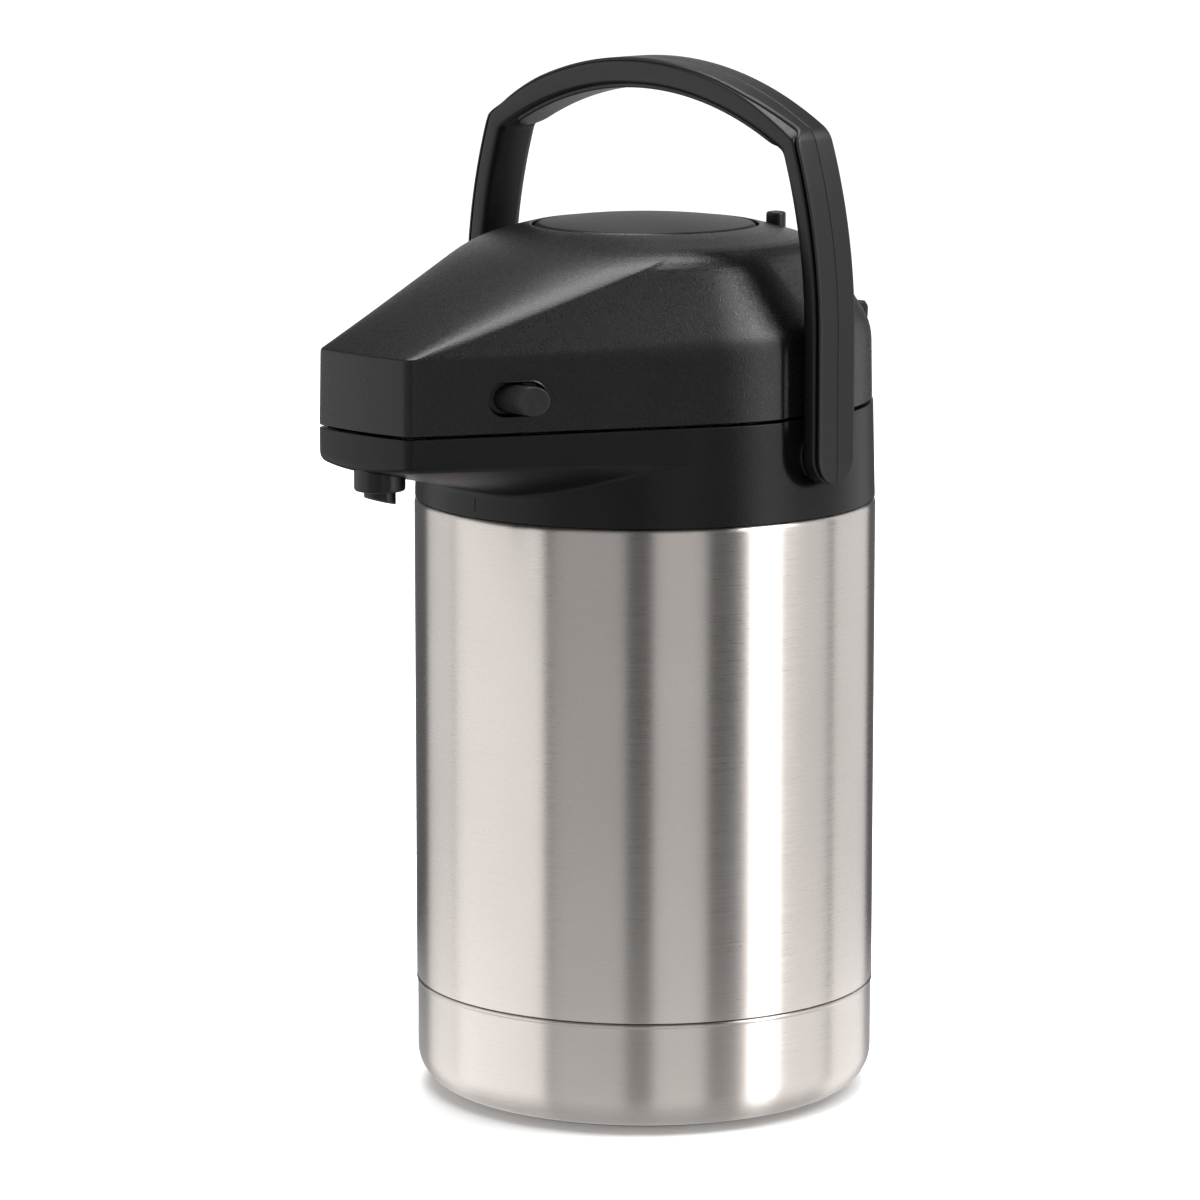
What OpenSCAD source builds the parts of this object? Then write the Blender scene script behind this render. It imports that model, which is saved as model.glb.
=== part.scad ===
// Thermal coffee airpot: vacuum flask, collar with beak, hinged pump lid and carrying handle.
// Millimetres, +Z up. The origin is on the flask's axis at the resting plane, and the spout points to -Y.

/* [Flask] */
// Outer radius of the steel body
body_r = 82.5; // [70:0.5:90]
// Height where the steel shell meets the collar
shell_top = 215.5; // [205:0.5:225]
// Height of the seam between base cup and shell
seam_z = 40.7; // [30:0.1:50]
// Radius of the base cup's bottom edge
base_edge_r = 13; // [6:0.5:16]
// Wall thickness of the steel parts
steel_t = 1.2; // [0.8:0.1:1.6]
// Inner radius of the flask liner
liner_r = 72.5; // [66:0.5:74]
// Inner radius of the flask's neck
neck_r = 39.3; // [36:0.1:40]

/* [Head] */
// Radius of the lid and of the top of the collar
head_r = 81; // [78:0.5:82]
// Height of the parting line between collar and lid
parting_z = 251; // [248:0.5:254]
// Gap at the parting line
parting_gap = 1; // [0.6:0.1:1.4]
// Angle of the beak's side walls to the centre plane
beak_angle = 26.6; // [24:0.1:29]
// Distance from the axis to the beak's front face
beak_reach = 136.8; // [130:0.1:140]
// Radius that bows the beak's front face
front_r = 122; // [90:1:200]
// Radius of the beak's vertical corners
corner_r = 5.5; // [4:0.5:8]
// Height of the crease where the lid's walls start to lean in
crease_z = 277.5; // [274:0.5:280]
// Radius of the lid's deck
deck_r = 62; // [60:0.5:64]
// Height of the deck's edge
deck_z = 307; // [304:0.5:309]
// Rise of the deck's dome above its edge
deck_rise = 10.3; // [6:0.1:11]
// Wall thickness of the mouldings
wall = 2.5; // [2:0.1:3]

/* [Push button] */
// Radius of the push button
button_r = 39.6; // [36:0.1:40]
// Height of the button's centre
button_top = 316; // [314:0.5:317]

/* [Handle] */
// Overall height over the handle
handle_top = 371.7; // [366:0.1:376]
// Half the width over the handle's arms
handle_half = 90; // [88:0.5:92]
// Width of the handle's strap
handle_w = 19; // [16:0.5:20]
// Thickness of the arms
arm_t = 8.7; // [7:0.1:8.8]
// Thickness of the grip
grip_t = 11; // [9:0.5:12]
// Height of the handle's pivots
pivot_z = 237.6; // [234:0.1:240]
// Offset of the handle's pivots behind the flask's axis
pivot_y = 5; // [0:0.5:8]

/* [Spout] */
// Distance from the axis to the nozzle
nozzle_y = 127; // [122:0.5:128]
// Outer radius of the nozzle block
nozzle_r = 8.8; // [8:0.1:9]
// Outer radius of the outlet tube
outlet_r = 5.45; // [5:0.05:6]

/* [Hidden] */

// facets of a full circle: in general, on hulled corners, on small rounds and on the steel parts
$fn = 96;
hull_fn = 32;
round_fn = 48;
steel_fn = 128;
// overlap that joins two shapes of one piece
eps = 0.01;
// length that passes through any piece
through = 300;
// clearances: between a shaft and its bore, and between pieces that pass each other
running_gap = 0.05;
clear = 0.3;

// heights
foot_top = 2.2;
collar_base = shell_top + clear;
web_base = 229;
web_top = 231.5;
neck_top = 236;
gasket_top = neck_top + 2.6;
neck_ring_top = 248;
collar_top = parting_z - parting_gap / 2;
lid_base = parting_z + parting_gap / 2;
floor_base = lid_base + clear;
floor_top = floor_base + wall;
tray_base = 239.5;
spout_z = 243;
outlet_top = 236;
guide_top = 283;
flange_base = 288.5;
flange_top = 291;
bellows_top = 305;

// radii
collar_r = 82.3;
collar_top_r = 81.4;
housing_bore_r = 79;
steel_neck_r = neck_r + 2.7;
conduit_r = 4;
conduit_bore_r = 2.6;
tube_r = 3.5;
tube_bore_r = 2.8;
tube_y = 29;
tube_bend_r = 6;
outlet_wall = 1.6;
hub_bore_r = 46;
rim_hole_r = button_r + 0.8;
flange_r = button_r + 4.3;

// handle, its pocket and its pivots
pocket_x = 78.5;
pocket_half = 18;
pocket_base = 227;
pocket_corner_r = 12;
pocket_wall = 2.6;
pivot_r = 4;
cover_t = 2.4;

// lid hinge
hinge_y = 82;
hinge_z = 252;
hinge_pin_r = 2;
knuckle_r = 4;
knuckle_half = 13.7;
knuckle_room = 0.6;
hinge_half = 26;

// screws that hold the lid's floor
screw_angles = [45 : 90 : 315];
screw_ring_r = 66;
screw_r = 1.5;

// release buttons: beak_side_x is the outside of the beak's side wall beside them
release_y = 100;
release_z = 263;
release_r = 5;
release_tip = 48.7;
beak_side_x = (head_r - release_y * sin(beak_angle)) / cos(beak_angle);
release_flange_x = beak_side_x - 11.5;
release_flange_t = 2.5;

// lock ring: three tabs and a peg
tab_angles = [0, 120, 240];
lock_r = 50;
lock_angle = 24;
lock_travel = 48;
peg_w = 7;

black = [0.08, 0.08, 0.085];
satin_black = [0.11, 0.11, 0.115];
steel = [0.72, 0.70, 0.68];
rubber = [0.16, 0.16, 0.16];
white_plastic = [0.86, 0.86, 0.84];

// ---------- shared shapes ----------

function on_circle(r, a) = [r * cos(a), r * sin(a)];

// points of an arc about c, from angle a0 to a1, starting at step number first
function arc(c, r, a0, a1, steps = 16, first = 0) =
    [for (i = [first : steps]) c + on_circle(r, a0 + (a1 - a0) * i / steps)];

// point at distance r1 from c1 and r2 from c2, on the left of the line c1-c2
function common_centre(c1, r1, c2, r2) =
    let (gap = c2 - c1, d = norm(gap), u = gap / d,
         along = (r1 * r1 - r2 * r2 + d * d) / (2 * d),
         across = sqrt(r1 * r1 - along * along))
    c1 + u * along + [-u[1], u[0]] * across;

// centre of the beak's right-hand vertical corner, for an outline of radius r
function corner_centre(r) =
    let (n = [cos(beak_angle), -sin(beak_angle)], t = [-sin(beak_angle), -cos(beak_angle)],
         inset = head_r - r, front = [0, front_r - beak_reach],
         from_wall = r - corner_r, from_front = front_r - inset - corner_r,
         run = front * t + sqrt(pow(from_front, 2) - pow(from_wall - front * n, 2)))
    n * from_wall + t * run;

// plan of the head: a circle with straight walls that run to a bowed front face
module teardrop(r) {
    c = corner_centre(r);
    front = [0, front_r - beak_reach];
    bow = front_r - (head_r - r);
    half_angle = atan2(c[0], front[1] - c[1]);
    hull() {
        circle(r);
        for (side = [-1, 1]) translate([side * c[0], c[1]]) circle(corner_r, $fn = hull_fn);
        polygon(arc(front, bow, -90 - half_angle, -90 + half_angle, 8));
    }
}

// body of revolution between two radii and two heights
module ring(inner, outer, low, high) {
    translate([0, 0, low]) rotate_extrude() translate([inner, 0]) square([outer - inner, high - low]);
}

module disc(r, low, high) {
    translate([0, 0, low]) cylinder(h = high - low, r = r);
}

// cylinder along X between two x positions
module bar_x(r, x0, x1) {
    translate([x0, 0, 0]) rotate([0, 90, 0]) cylinder(h = x1 - x0, r = r);
}

// box given by its lowest corner and its highest corner
module block(low, high) {
    translate(low) cube(high - low);
}

// helical spring along Z, standing on the plane z = 0
module coil_spring(coil_r, wire_r, length, turns, steps = 18, sides = 6) {
    count = turns * steps;
    rise = (length - 2 * wire_r) / count;
    points = [for (i = [0 : count]) for (j = [0 : sides - 1])
        let (a = i * 360 / steps, b = j * 360 / sides, r = coil_r + wire_r * cos(b))
        [r * cos(a), r * sin(a), wire_r + i * rise + wire_r * sin(b)]];
    walls = [for (i = [0 : count - 1]) for (j = [0 : sides - 1])
        let (k = (j + 1) % sides, a = i * sides, b = a + sides)
        each [[a + j, b + k, b + j], [a + j, a + k, b + k]]];
    start = [for (j = [sides - 1 : -1 : 0]) j];
    end = [for (j = [0 : sides - 1]) count * sides + j];
    polyhedron(points, concat(walls, [start, end]), convexity = 8);
}

// repeats a piece at each of the lid's screws
module at_screws() {
    for (a = screw_angles) rotate(a) translate([screw_ring_r, 0, 0]) children();
}

// frame of the lid's hinge, with X along the pin
module at_hinge() {
    translate([0, hinge_y, hinge_z]) children();
}

// frames of the handle's pivots, with X along the pins and outwards
module at_pivots() {
    both_sides() translate([0, pivot_y, pivot_z]) children();
}

module both_sides() {
    children();
    mirror([1, 0, 0]) children();
}

// ---------- flask ----------

module outer_shell() {
    shoulder = 2;
    neck_fillet = 4;
    seat = seam_z + 0.4;
    inner = body_r - steel_t;
    top = shell_top - shoulder;
    flat_r = body_r - shoulder;
    neck_in = steel_neck_r - steel_t;
    color(steel) rotate_extrude($fn = steel_fn) difference() {
        union() {
            translate([0, seat]) square([body_r, top - seat]);
            translate([0, top - eps]) square([flat_r, shoulder + eps]);
            translate([flat_r, top]) circle(shoulder, $fn = round_fn);
            translate([0, shell_top - eps]) square([steel_neck_r + neck_fillet, neck_fillet]);
            square([steel_neck_r, neck_top]);
        }
        translate([steel_neck_r + neck_fillet, shell_top + neck_fillet]) circle(neck_fillet, $fn = round_fn);
        translate([-eps, 0]) square([inner + eps, top]);
        translate([-eps, 0]) square([inner - 1, shell_top - steel_t]);
        translate([-eps, 0]) square([neck_in + eps, neck_top + 1]);
        translate([-eps, -eps]) square([body_r + 1, seat]);
    }
}

module base_cup() {
    base = 1.5;
    edge = base_edge_r;
    outer = body_r - 0.35;
    inner = outer - steel_t;
    open_r = 66;
    color(steel) rotate_extrude($fn = steel_fn) difference() {
        union() {
            translate([0, base + edge]) square([outer, seam_z - base - edge]);
            translate([0, base]) square([outer - edge, edge + eps]);
            translate([outer - edge, base + edge]) circle(edge);
        }
        translate([-eps, base + edge]) square([inner + eps, seam_z]);
        translate([-eps, base + steel_t]) square([outer - edge, edge]);
        translate([outer - edge, base + edge]) circle(edge - steel_t);
        translate([-eps, base - 1]) square([open_r, steel_t + 2]);
    }
    // sleeve that the shell slides over, and the step that joins it to the cup
    step_r = inner - 0.7;
    sleeve_low = seam_z - 8;
    color(steel) ring(step_r - steel_t, step_r + 0.1, sleeve_low, seam_z + 6);
    color(steel) ring(step_r, inner + eps, sleeve_low, sleeve_low + 2);
}

module bottom_plate() {
    plate_r = 65.5;
    plate_top = 5;
    lip_inner = 64;
    lip_outer = 70;
    lip_base = 3;
    rib_r = 57;
    rib_w = 3;
    rib_h = 4;
    groove_r = 40;
    groove_w = 8;
    color(black) difference() {
        union() {
            disc(plate_r, foot_top, plate_top);
            ring(rib_r, rib_r + rib_w, plate_top, plate_top + rib_h);
            ring(lip_inner, lip_outer, lip_base, plate_top);
        }
        // ring groove that stiffens the plate
        ring(groove_r, groove_r + groove_w, plate_top - 1, plate_top + 1);
    }
}

module foot_pad() {
    pad_r = 64;
    groove_w = 2;
    groove_depth = 0.8;
    color(rubber) difference() {
        disc(pad_r, 0, foot_top);
        for (r = [52, 58]) ring(r, r + groove_w, -1, groove_depth);
    }
}

module flask_liner() {
    t = 1;
    floor_z = 21;
    floor_edge = 14;
    shoulder_z = 184;
    shoulder_r = 17;
    fillet_r = 12;
    // half section of the liner's outside, with grow = t, or of its inside, with grow = 0
    module half(grow) {
        r = liner_r + grow;
        neck = neck_r + grow;
        low = floor_z - grow;
        top = shoulder_z + shoulder_r + grow;
        translate([0, low + floor_edge + grow]) square([r, shoulder_z - low - floor_edge - grow]);
        translate([0, low]) square([r - floor_edge - grow, floor_edge + grow + eps]);
        translate([r - floor_edge - grow, low + floor_edge + grow]) circle(floor_edge + grow);
        translate([0, shoulder_z - eps]) square([r - shoulder_r - grow, shoulder_r + grow + eps]);
        translate([r - shoulder_r - grow, shoulder_z]) circle(shoulder_r + grow);
        difference() {
            square([neck + fillet_r - grow, top + fillet_r - grow]);
            translate([neck + fillet_r - grow, top + fillet_r - grow]) circle(fillet_r - grow);
        }
        square([neck, neck_top + 0.1]);
    }
    color(steel) rotate_extrude($fn = steel_fn) difference() {
        union() {
            intersection() {
                half(t);
                square([liner_r + 2 * t, neck_top + 0.1]);
            }
            translate([neck_r, neck_top + 0.1]) square([steel_neck_r - neck_r, 1]);
        }
        intersection() {
            half(0);
            square([liner_r, neck_top + 5]);
        }
        translate([-eps, neck_top - 1]) square([neck_r + eps, 5]);
        translate([-5, -1]) square([5, through]);
    }
}

module shell_gasket() {
    inner = 70;
    outer = 75.5;
    color(rubber) ring(inner, outer, shell_top, collar_base + 0.2);
}

module neck_gasket() {
    outer = 44;
    t = 1.5;
    color(rubber) ring(neck_r + 0.5, outer, gasket_top - t, gasket_top);
}

module neck_ring() {
    inner = 38;
    outer = 45.6;
    counterbore = 44.2;
    rim_r = 54;
    rim_t = 2.5;
    notch_r = 2.5;
    color(white_plastic) difference() {
        union() {
            ring(inner, outer, web_top, neck_ring_top);
            ring(inner, rim_r, web_top, web_top + rim_t);
        }
        disc(counterbore, web_top - 1, gasket_top);
        // port for the dip tube and the conduit
        translate([0, 0, spout_z]) rotate([90, 0, 0]) cylinder(h = 60, r = conduit_r + running_gap);
        // grip notches around the rim, but none under the conduit
        for (a = [30 : 30 : 330]) if (a != 270) rotate(a) translate([rim_r, 0, 0])
            disc(notch_r, web_top - 1, web_top + rim_t + 1);
    }
}

module dip_tube() {
    foot_z = 25;
    bend_y = tube_y + tube_bend_r;
    end_y = 39.4;
    inlet_slant = 30;
    color(steel) {
        translate([0, -tube_y, foot_z]) difference() {
            cylinder(h = spout_z - tube_bend_r - foot_z, r = tube_r);
            translate([0, 0, -1]) cylinder(h = through, r = tube_bore_r);
            // slanted inlet
            translate([-10, -8, 0]) rotate([inlet_slant, 0, 0]) translate([0, 0, -20]) cube([20, 30, 20]);
        }
        translate([0, -bend_y, spout_z - tube_bend_r]) rotate([0, 0, 90]) rotate([90, 0, 0])
            rotate_extrude(angle = 90) translate([tube_bend_r, 0]) difference() {
                circle(tube_r, $fn = round_fn);
                circle(tube_bore_r, $fn = round_fn);
            }
        translate([0, -bend_y, spout_z]) rotate([90, 0, 0]) difference() {
            cylinder(h = end_y - bend_y, r = tube_r);
            translate([0, 0, -1]) cylinder(h = through, r = tube_bore_r);
        }
    }
}

module tube_seal() {
    seal_y = 35.3;
    seal_r = 5;
    seal_t = 1.7;
    color(rubber) translate([0, -seal_y, spout_z]) rotate([90, 0, 0]) difference() {
        cylinder(h = seal_t, r = seal_r);
        translate([0, 0, -1]) cylinder(h = seal_t + 2, r = tube_r + eps);
    }
}

// ---------- spout ----------

module spout_conduit() {
    start_y = 40;
    end_y = nozzle_y - nozzle_r + 1.5;
    // collars along the pipe: distance from its start, and how far they stand out
    collars = [[7, 2], [72, 1.2]];
    collar_t = 2;
    color(white_plastic) translate([0, -start_y, spout_z]) rotate([90, 0, 0]) difference() {
        union() {
            cylinder(h = end_y - start_y, r = conduit_r);
            for (c = collars) translate([0, 0, c[0]]) cylinder(h = collar_t, r = conduit_r + c[1]);
        }
        translate([0, 0, -1]) cylinder(h = through, r = conduit_bore_r);
    }
}

module nozzle_housing() {
    bottom = 230.3;
    top = 247.5;
    chamfer = 3;
    color(black) translate([0, -nozzle_y, 0]) difference() {
        disc(nozzle_r, bottom, top);
        // rear chamfer
        translate([0, nozzle_r - chamfer, bottom - chamfer]) rotate([45, 0, 0])
            translate([-20, 0, -10]) cube([40, 20, 10]);
        disc(outlet_r + running_gap, bottom - 1, spout_z + 3);
        translate([0, 0, spout_z]) rotate([-90, 0, 0]) cylinder(h = 30, r = conduit_r + running_gap);
    }
}

module nozzle_outlet() {
    bottom = 225.5;
    slant = 18;
    color(black) translate([0, -nozzle_y, 0]) difference() {
        disc(outlet_r, bottom, outlet_top);
        disc(outlet_r - outlet_wall, bottom - 1, outlet_top + 1);
        // slanted end, lower at the back
        translate([-10, 0, bottom + 1.8]) rotate([-slant, 0, 0]) translate([0, -12, -8]) cube([20, 24, 8]);
    }
}

module nozzle_seal() {
    t = 1.6;
    color(rubber) translate([0, -nozzle_y, 0])
        ring(outlet_r - outlet_wall, outlet_r, outlet_top, outlet_top + t);
}

// ---------- collar and tray ----------

// pocket for one handle arm, in plan from the side: straight sides with round lower corners
module arm_pocket(top) {
    low = pivot_y - pocket_half;
    high = pivot_y + pocket_half;
    r = pocket_corner_r;
    translate([pocket_x, 0, 0]) rotate([90, 0, 90]) linear_extrude(20) union() {
        translate([low, pocket_base + r]) square([high - low, top - pocket_base - r]);
        translate([low + r, pocket_base]) square([high - low - 2 * r, r + eps]);
        for (y = [low + r, high - r]) translate([y, pocket_base + r]) circle(r);
    }
}

// solid stock left behind and beside each pocket
module pocket_backing(low, high) {
    half = pocket_half + 3;
    both_sides() block([pocket_x - pocket_wall, pivot_y - half, low], [handle_half, pivot_y + half, high]);
}

module lower_housing() {
    keel_r = 60;
    keel_z = 218;
    boss_r = 9;
    boss_x = 66;
    socket_wall = 2.2;
    catch_inner = 35.5;
    catch_outer = 39.5;
    catch_base = 247.6;
    catch_top = 250;
    catch_half = 5;
    module outside() {
        translate([0, 0, collar_base])
            cylinder(h = collar_top - collar_base, r1 = collar_r, r2 = collar_top_r);
        hull() {
            translate([0, 0, tray_base]) linear_extrude(collar_top - tray_base) teardrop(head_r);
            disc(keel_r, keel_z, keel_z + 1);
        }
    }
    module tray_hollow() {
        difference() {
            hull() {
                translate([0, 0, tray_base + wall]) linear_extrude(20) teardrop(head_r - wall);
                disc(keel_r - wall, keel_z + wall, keel_z + wall + 1);
            }
            disc(housing_bore_r + wall, keel_z, web_top);
        }
    }
    color(black) difference() {
        union() {
            difference() {
                outside();
                difference() {
                    union() {
                        disc(housing_bore_r, collar_base - 1, web_base);
                        disc(housing_bore_r, web_top, collar_top + 1);
                        disc(hub_bore_r, collar_base, web_top + 1);
                        tray_hollow();
                    }
                    pocket_backing(collar_base - 2, collar_top + 2);
                    // bosses behind the pivots
                    at_pivots() bar_x(boss_r, boss_x, pocket_x + 1.5);
                    // socket of the nozzle
                    translate([0, -nozzle_y, 0]) disc(nozzle_r + socket_wall, 230, 244);
                }
            }
            // hinge knuckle and its root
            at_hinge() bar_x(knuckle_r, -knuckle_half, knuckle_half);
            at_hinge() block([-knuckle_half, -3.4, -9], [knuckle_half, 2, -2]);
            // latch catches
            both_sides() block([catch_inner, -release_y - catch_half, catch_base],
                [catch_outer, -release_y + catch_half, catch_top]);
        }
        both_sides() arm_pocket(through);
        at_pivots() bar_x(pivot_r, 70, handle_half);
        translate([0, -nozzle_y, 0]) disc(nozzle_r + running_gap, 200, 260);
        translate([0, -nozzle_y, spout_z]) rotate([-90, 0, 0]) cylinder(h = 30, r = conduit_r + clear);
        at_hinge() bar_x(hinge_pin_r + running_gap, -40, 40);
        // room for the lid's knuckles
        both_sides() at_hinge() bar_x(knuckle_r + knuckle_room, knuckle_half, hinge_half + knuckle_room);
    }
}

module hinge_pin() {
    half = hinge_half - 0.5;
    color(steel) at_hinge() bar_x(hinge_pin_r, -half, half);
}

module pivot_pins() {
    color(steel) at_pivots() bar_x(pivot_r, 70, 86);
}

module pivot_bushes() {
    bush_r = 8.6;
    bush_t = 2.5;
    color(black) at_pivots() difference() {
        bar_x(bush_r, pocket_x, pocket_x + bush_t);
        bar_x(pivot_r, pocket_x - 1, pocket_x + bush_t + 1);
    }
}

// ---------- lid ----------

module lid_outside() {
    hull() {
        translate([0, 0, lid_base]) linear_extrude(crease_z - lid_base) teardrop(head_r);
        translate([0, 0, deck_z - 1]) cylinder(h = 1, r = deck_r);
    }
}

// half section of the shallow dome on the deck
module dome_section(r, rise) {
    dome_r = (r * r + rise * rise) / (2 * rise);
    intersection() {
        translate([0, rise - dome_r]) circle(dome_r, $fn = 256);
        translate([0, -eps]) square([r, rise + 1]);
    }
}

// places the release button's frame: +X outwards, at its own height
module at_release(side) {
    translate([0, -release_y, release_z]) mirror([side < 0 ? 1 : 0, 0, 0]) children();
}

module lid_shell() {
    boss_r = 4;
    rim_t = 3;
    deck_t = 3.6;
    cheek_t = 7.5;
    cheek_half = 13;
    module inside() {
        hull() {
            translate([0, 0, lid_base - 1]) linear_extrude(crease_z - lid_base) teardrop(head_r - wall);
            translate([0, 0, deck_z - wall - 1.5]) cylinder(h = 1, r = deck_r - wall);
        }
    }
    color(black) difference() {
        union() {
            difference() {
                lid_outside();
                difference() {
                    inside();
                    pocket_backing(floor_top, through);
                    at_screws() disc(boss_r, floor_top, through + 20);
                    // thick cheek that carries each release button
                    for (side = [-1, 1]) at_release(side)
                        block([beak_side_x - cheek_t, -cheek_half, -8.5], [60, cheek_half, 9]);
                }
            }
            translate([0, 0, deck_z - eps]) rotate_extrude() dome_section(deck_r, deck_rise);
            ring(rim_hole_r, rim_hole_r + rim_t, flange_top + clear, deck_z);
            // hinge knuckles and their roots
            both_sides() at_hinge() bar_x(knuckle_r, knuckle_half + clear, hinge_half);
            both_sides() at_hinge() block([knuckle_half + clear, -5, 0], [hinge_half, 3, 8]);
            rear_lug();
        }
        disc(rim_hole_r, 250, 330);
        // room under the deck for the lock ring's peg
        translate([0, 0, deck_z - deck_t]) rotate_extrude() difference() {
            dome_section(deck_r - 3, deck_rise - 1);
            translate([-1, -1]) square([rim_hole_r + 4, 20]);
        }
        lock_slot();
        both_sides() arm_pocket(340);
        for (side = [-1, 1]) at_release(side) {
            bar_x(release_r + clear, 0, 80);
            release_recess();
        }
        at_screws() disc(screw_r + running_gap, floor_top - 1, floor_top + 10);
        at_hinge() bar_x(hinge_pin_r + running_gap, -40, 40);
        // room for the collar's knuckle
        at_hinge() bar_x(knuckle_r + knuckle_room, -knuckle_half - clear, knuckle_half + clear);
    }
}

// lug on the lid's back, as its outline seen from the side
module rear_lug() {
    profile = [[78, 262], [82, 266], [88.4, 272], [89, 272.8], [89, 279], [88, 280], [80, 280.5], [76, 280]];
    translate([-hinge_half, 0, 0]) rotate([90, 0, 90]) linear_extrude(2 * hinge_half) polygon(profile);
}

// arc slot that the lock peg runs in
module lock_slot() {
    half = peg_w / 2 + 0.4;
    a0 = 90 - lock_angle;
    translate([0, 0, guide_top]) rotate([0, 0, a0]) rotate_extrude(angle = lock_travel)
        translate([lock_r - half, 0]) square([2 * half, 50]);
    for (a = [a0, a0 + lock_travel]) rotate(a) translate([lock_r, 0, 0]) disc(half, guide_top, 330);
}

// oval dish around the release button, along the beak's side wall
module release_recess() {
    depth = 4;
    half_length = 10.5;
    r = 6;
    reach = 12;
    round_y = half_length - r;
    translate([beak_side_x, 0, 0]) rotate([0, 0, -beak_angle]) translate([-depth, 0, 0]) {
        for (y = [-round_y, round_y]) translate([0, y, 0]) bar_x(r, 0, reach);
        block([0, -round_y, -r], [reach, round_y, r]);
    }
}

module lid_floor() {
    inset = wall + 0.4;
    air_hole_r = 5;
    slot_inner = 23;
    slot_outer = 36.5;
    slot_half = 4.5;
    seat_inner = 34;
    seat_outer = 37;
    color(black) difference() {
        translate([0, 0, floor_base]) linear_extrude(wall) teardrop(head_r - inset);
        disc(air_hole_r, 240, 260);
        at_screws() disc(screw_r + running_gap, 240, 260);
        pocket_backing(floor_base - 1, floor_top + 1);
        // slots for the latch legs
        both_sides() block([slot_inner, -release_y - slot_half, 240],
            [slot_outer, -release_y + slot_half, 260]);
        // room for the hinge
        at_hinge() bar_x(knuckle_r + knuckle_room + 0.2, -40, 40);
    }
    // wall that carries the lid gasket
    color(black) ring(seat_inner, seat_outer, neck_ring_top + clear, floor_base + eps);
}

module lid_screws() {
    cap_r = 3;
    cap_t = 1.7;
    slot_half = 2;
    slot_w = 0.6;
    color(steel) at_screws() difference() {
        union() {
            disc(screw_r, floor_base - 1, floor_top + 8);
            disc(cap_r, floor_base - cap_t, floor_base);
        }
        // crossed slots
        for (b = [0, 90]) rotate(b)
            block([-slot_half, -slot_w / 2, floor_base - 3], [slot_half, slot_w / 2, floor_base - 1]);
    }
}

module button_guide() {
    inner = flange_r + 0.4;
    t = 2.5;
    base_inner = 36;
    base_t = 1.8;
    rim_outer = 57;
    vent_ring_r = 40;
    vent_r = 1.6;
    color(white_plastic) {
        ring(inner, inner + t, floor_top, guide_top);
        ring(inner + t - 0.1, rim_outer, guide_top - t, guide_top);
        difference() {
            ring(base_inner, inner + 0.1, floor_top, floor_top + base_t);
            for (a = [0 : 60 : 300]) rotate(a) translate([vent_ring_r, 0, 0]) disc(vent_r, 240, 270);
        }
    }
}

module air_valve() {
    flap_r = 8.5;
    plug_r = 7;
    stem_inner = 2;
    stem_outer = 4.6;
    color(rubber) {
        disc(flap_r, floor_top, floor_top + 1);
        ring(stem_inner, stem_outer, floor_base - 1, floor_top + eps);
        disc(plug_r, floor_base - 1.8, floor_base - 0.8);
    }
}

module lid_gasket() {
    inner = 37;
    outer = 45.4;
    color(rubber) ring(inner, outer, neck_ring_top + clear, floor_base);
}

module bellows() {
    folds = 8;
    low = floor_top;
    pitch = (bellows_top - low) / folds;
    outer = 34;
    inner = 27;
    t = 1;
    // zigzag wall, out and back
    rising = [for (i = [0 : folds - 1]) each [[inner, low + i * pitch], [outer, low + (i + 0.5) * pitch]]];
    falling = [for (i = [folds - 1 : -1 : 0]) each
        [[outer - 1.5 * t, low + (i + 0.5) * pitch], [inner - 1.5 * t, low + i * pitch]]];
    top = [[inner, bellows_top], [inner - 1.5 * t, bellows_top]];
    color(rubber) rotate_extrude() polygon(concat(rising, top, falling));
}

module return_spring() {
    low = floor_top + 0.1;
    color(steel) translate([0, 0, low]) coil_spring(16, 1.1, bellows_top - low - 0.2, 7);
}

// ---------- push button ----------

module push_button() {
    skirt = 2.4;
    rim_z = 313.2;
    rim_bevel = 1.2;
    notch_angle = 16;
    boss_r = 9;
    boss_bore_r = 6;
    color(black) difference() {
        union() {
            disc(button_r, flange_base, rim_z - rim_bevel);
            translate([0, 0, rim_z - rim_bevel])
                cylinder(h = rim_bevel, r1 = button_r, r2 = button_r - rim_bevel);
            translate([0, 0, rim_z - eps]) rotate_extrude()
                dome_section(button_r - rim_bevel, button_top - rim_z);
            disc(flange_r, flange_base, flange_top);
        }
        disc(button_r - skirt, flange_base - 1, rim_z - skirt);
        // notches that let the lock ring's tabs pass
        for (a = tab_angles) rotate(a - lock_angle + 90) rotate([0, 0, -notch_angle / 2])
            rotate_extrude(angle = notch_angle) translate([button_r, flange_base - 1]) square([10, 6]);
    }
    // boss that presses on the pusher plate
    color(black) difference() {
        disc(boss_r, bellows_top + 2.5, rim_z - skirt + 0.5);
        disc(boss_bore_r, bellows_top, rim_z - skirt);
    }
}

module pusher_plate() {
    plate_r = 35.5;
    t = 2.5;
    rib_inner = 30;
    rib_outer = 32;
    plug_r = 5.8;
    top = bellows_top + t;
    color(white_plastic) {
        disc(plate_r, bellows_top, top);
        ring(rib_inner, rib_outer, top - 0.1, top + 2);
        disc(plug_r, top - 0.1, top + 2.5);
    }
}

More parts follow.
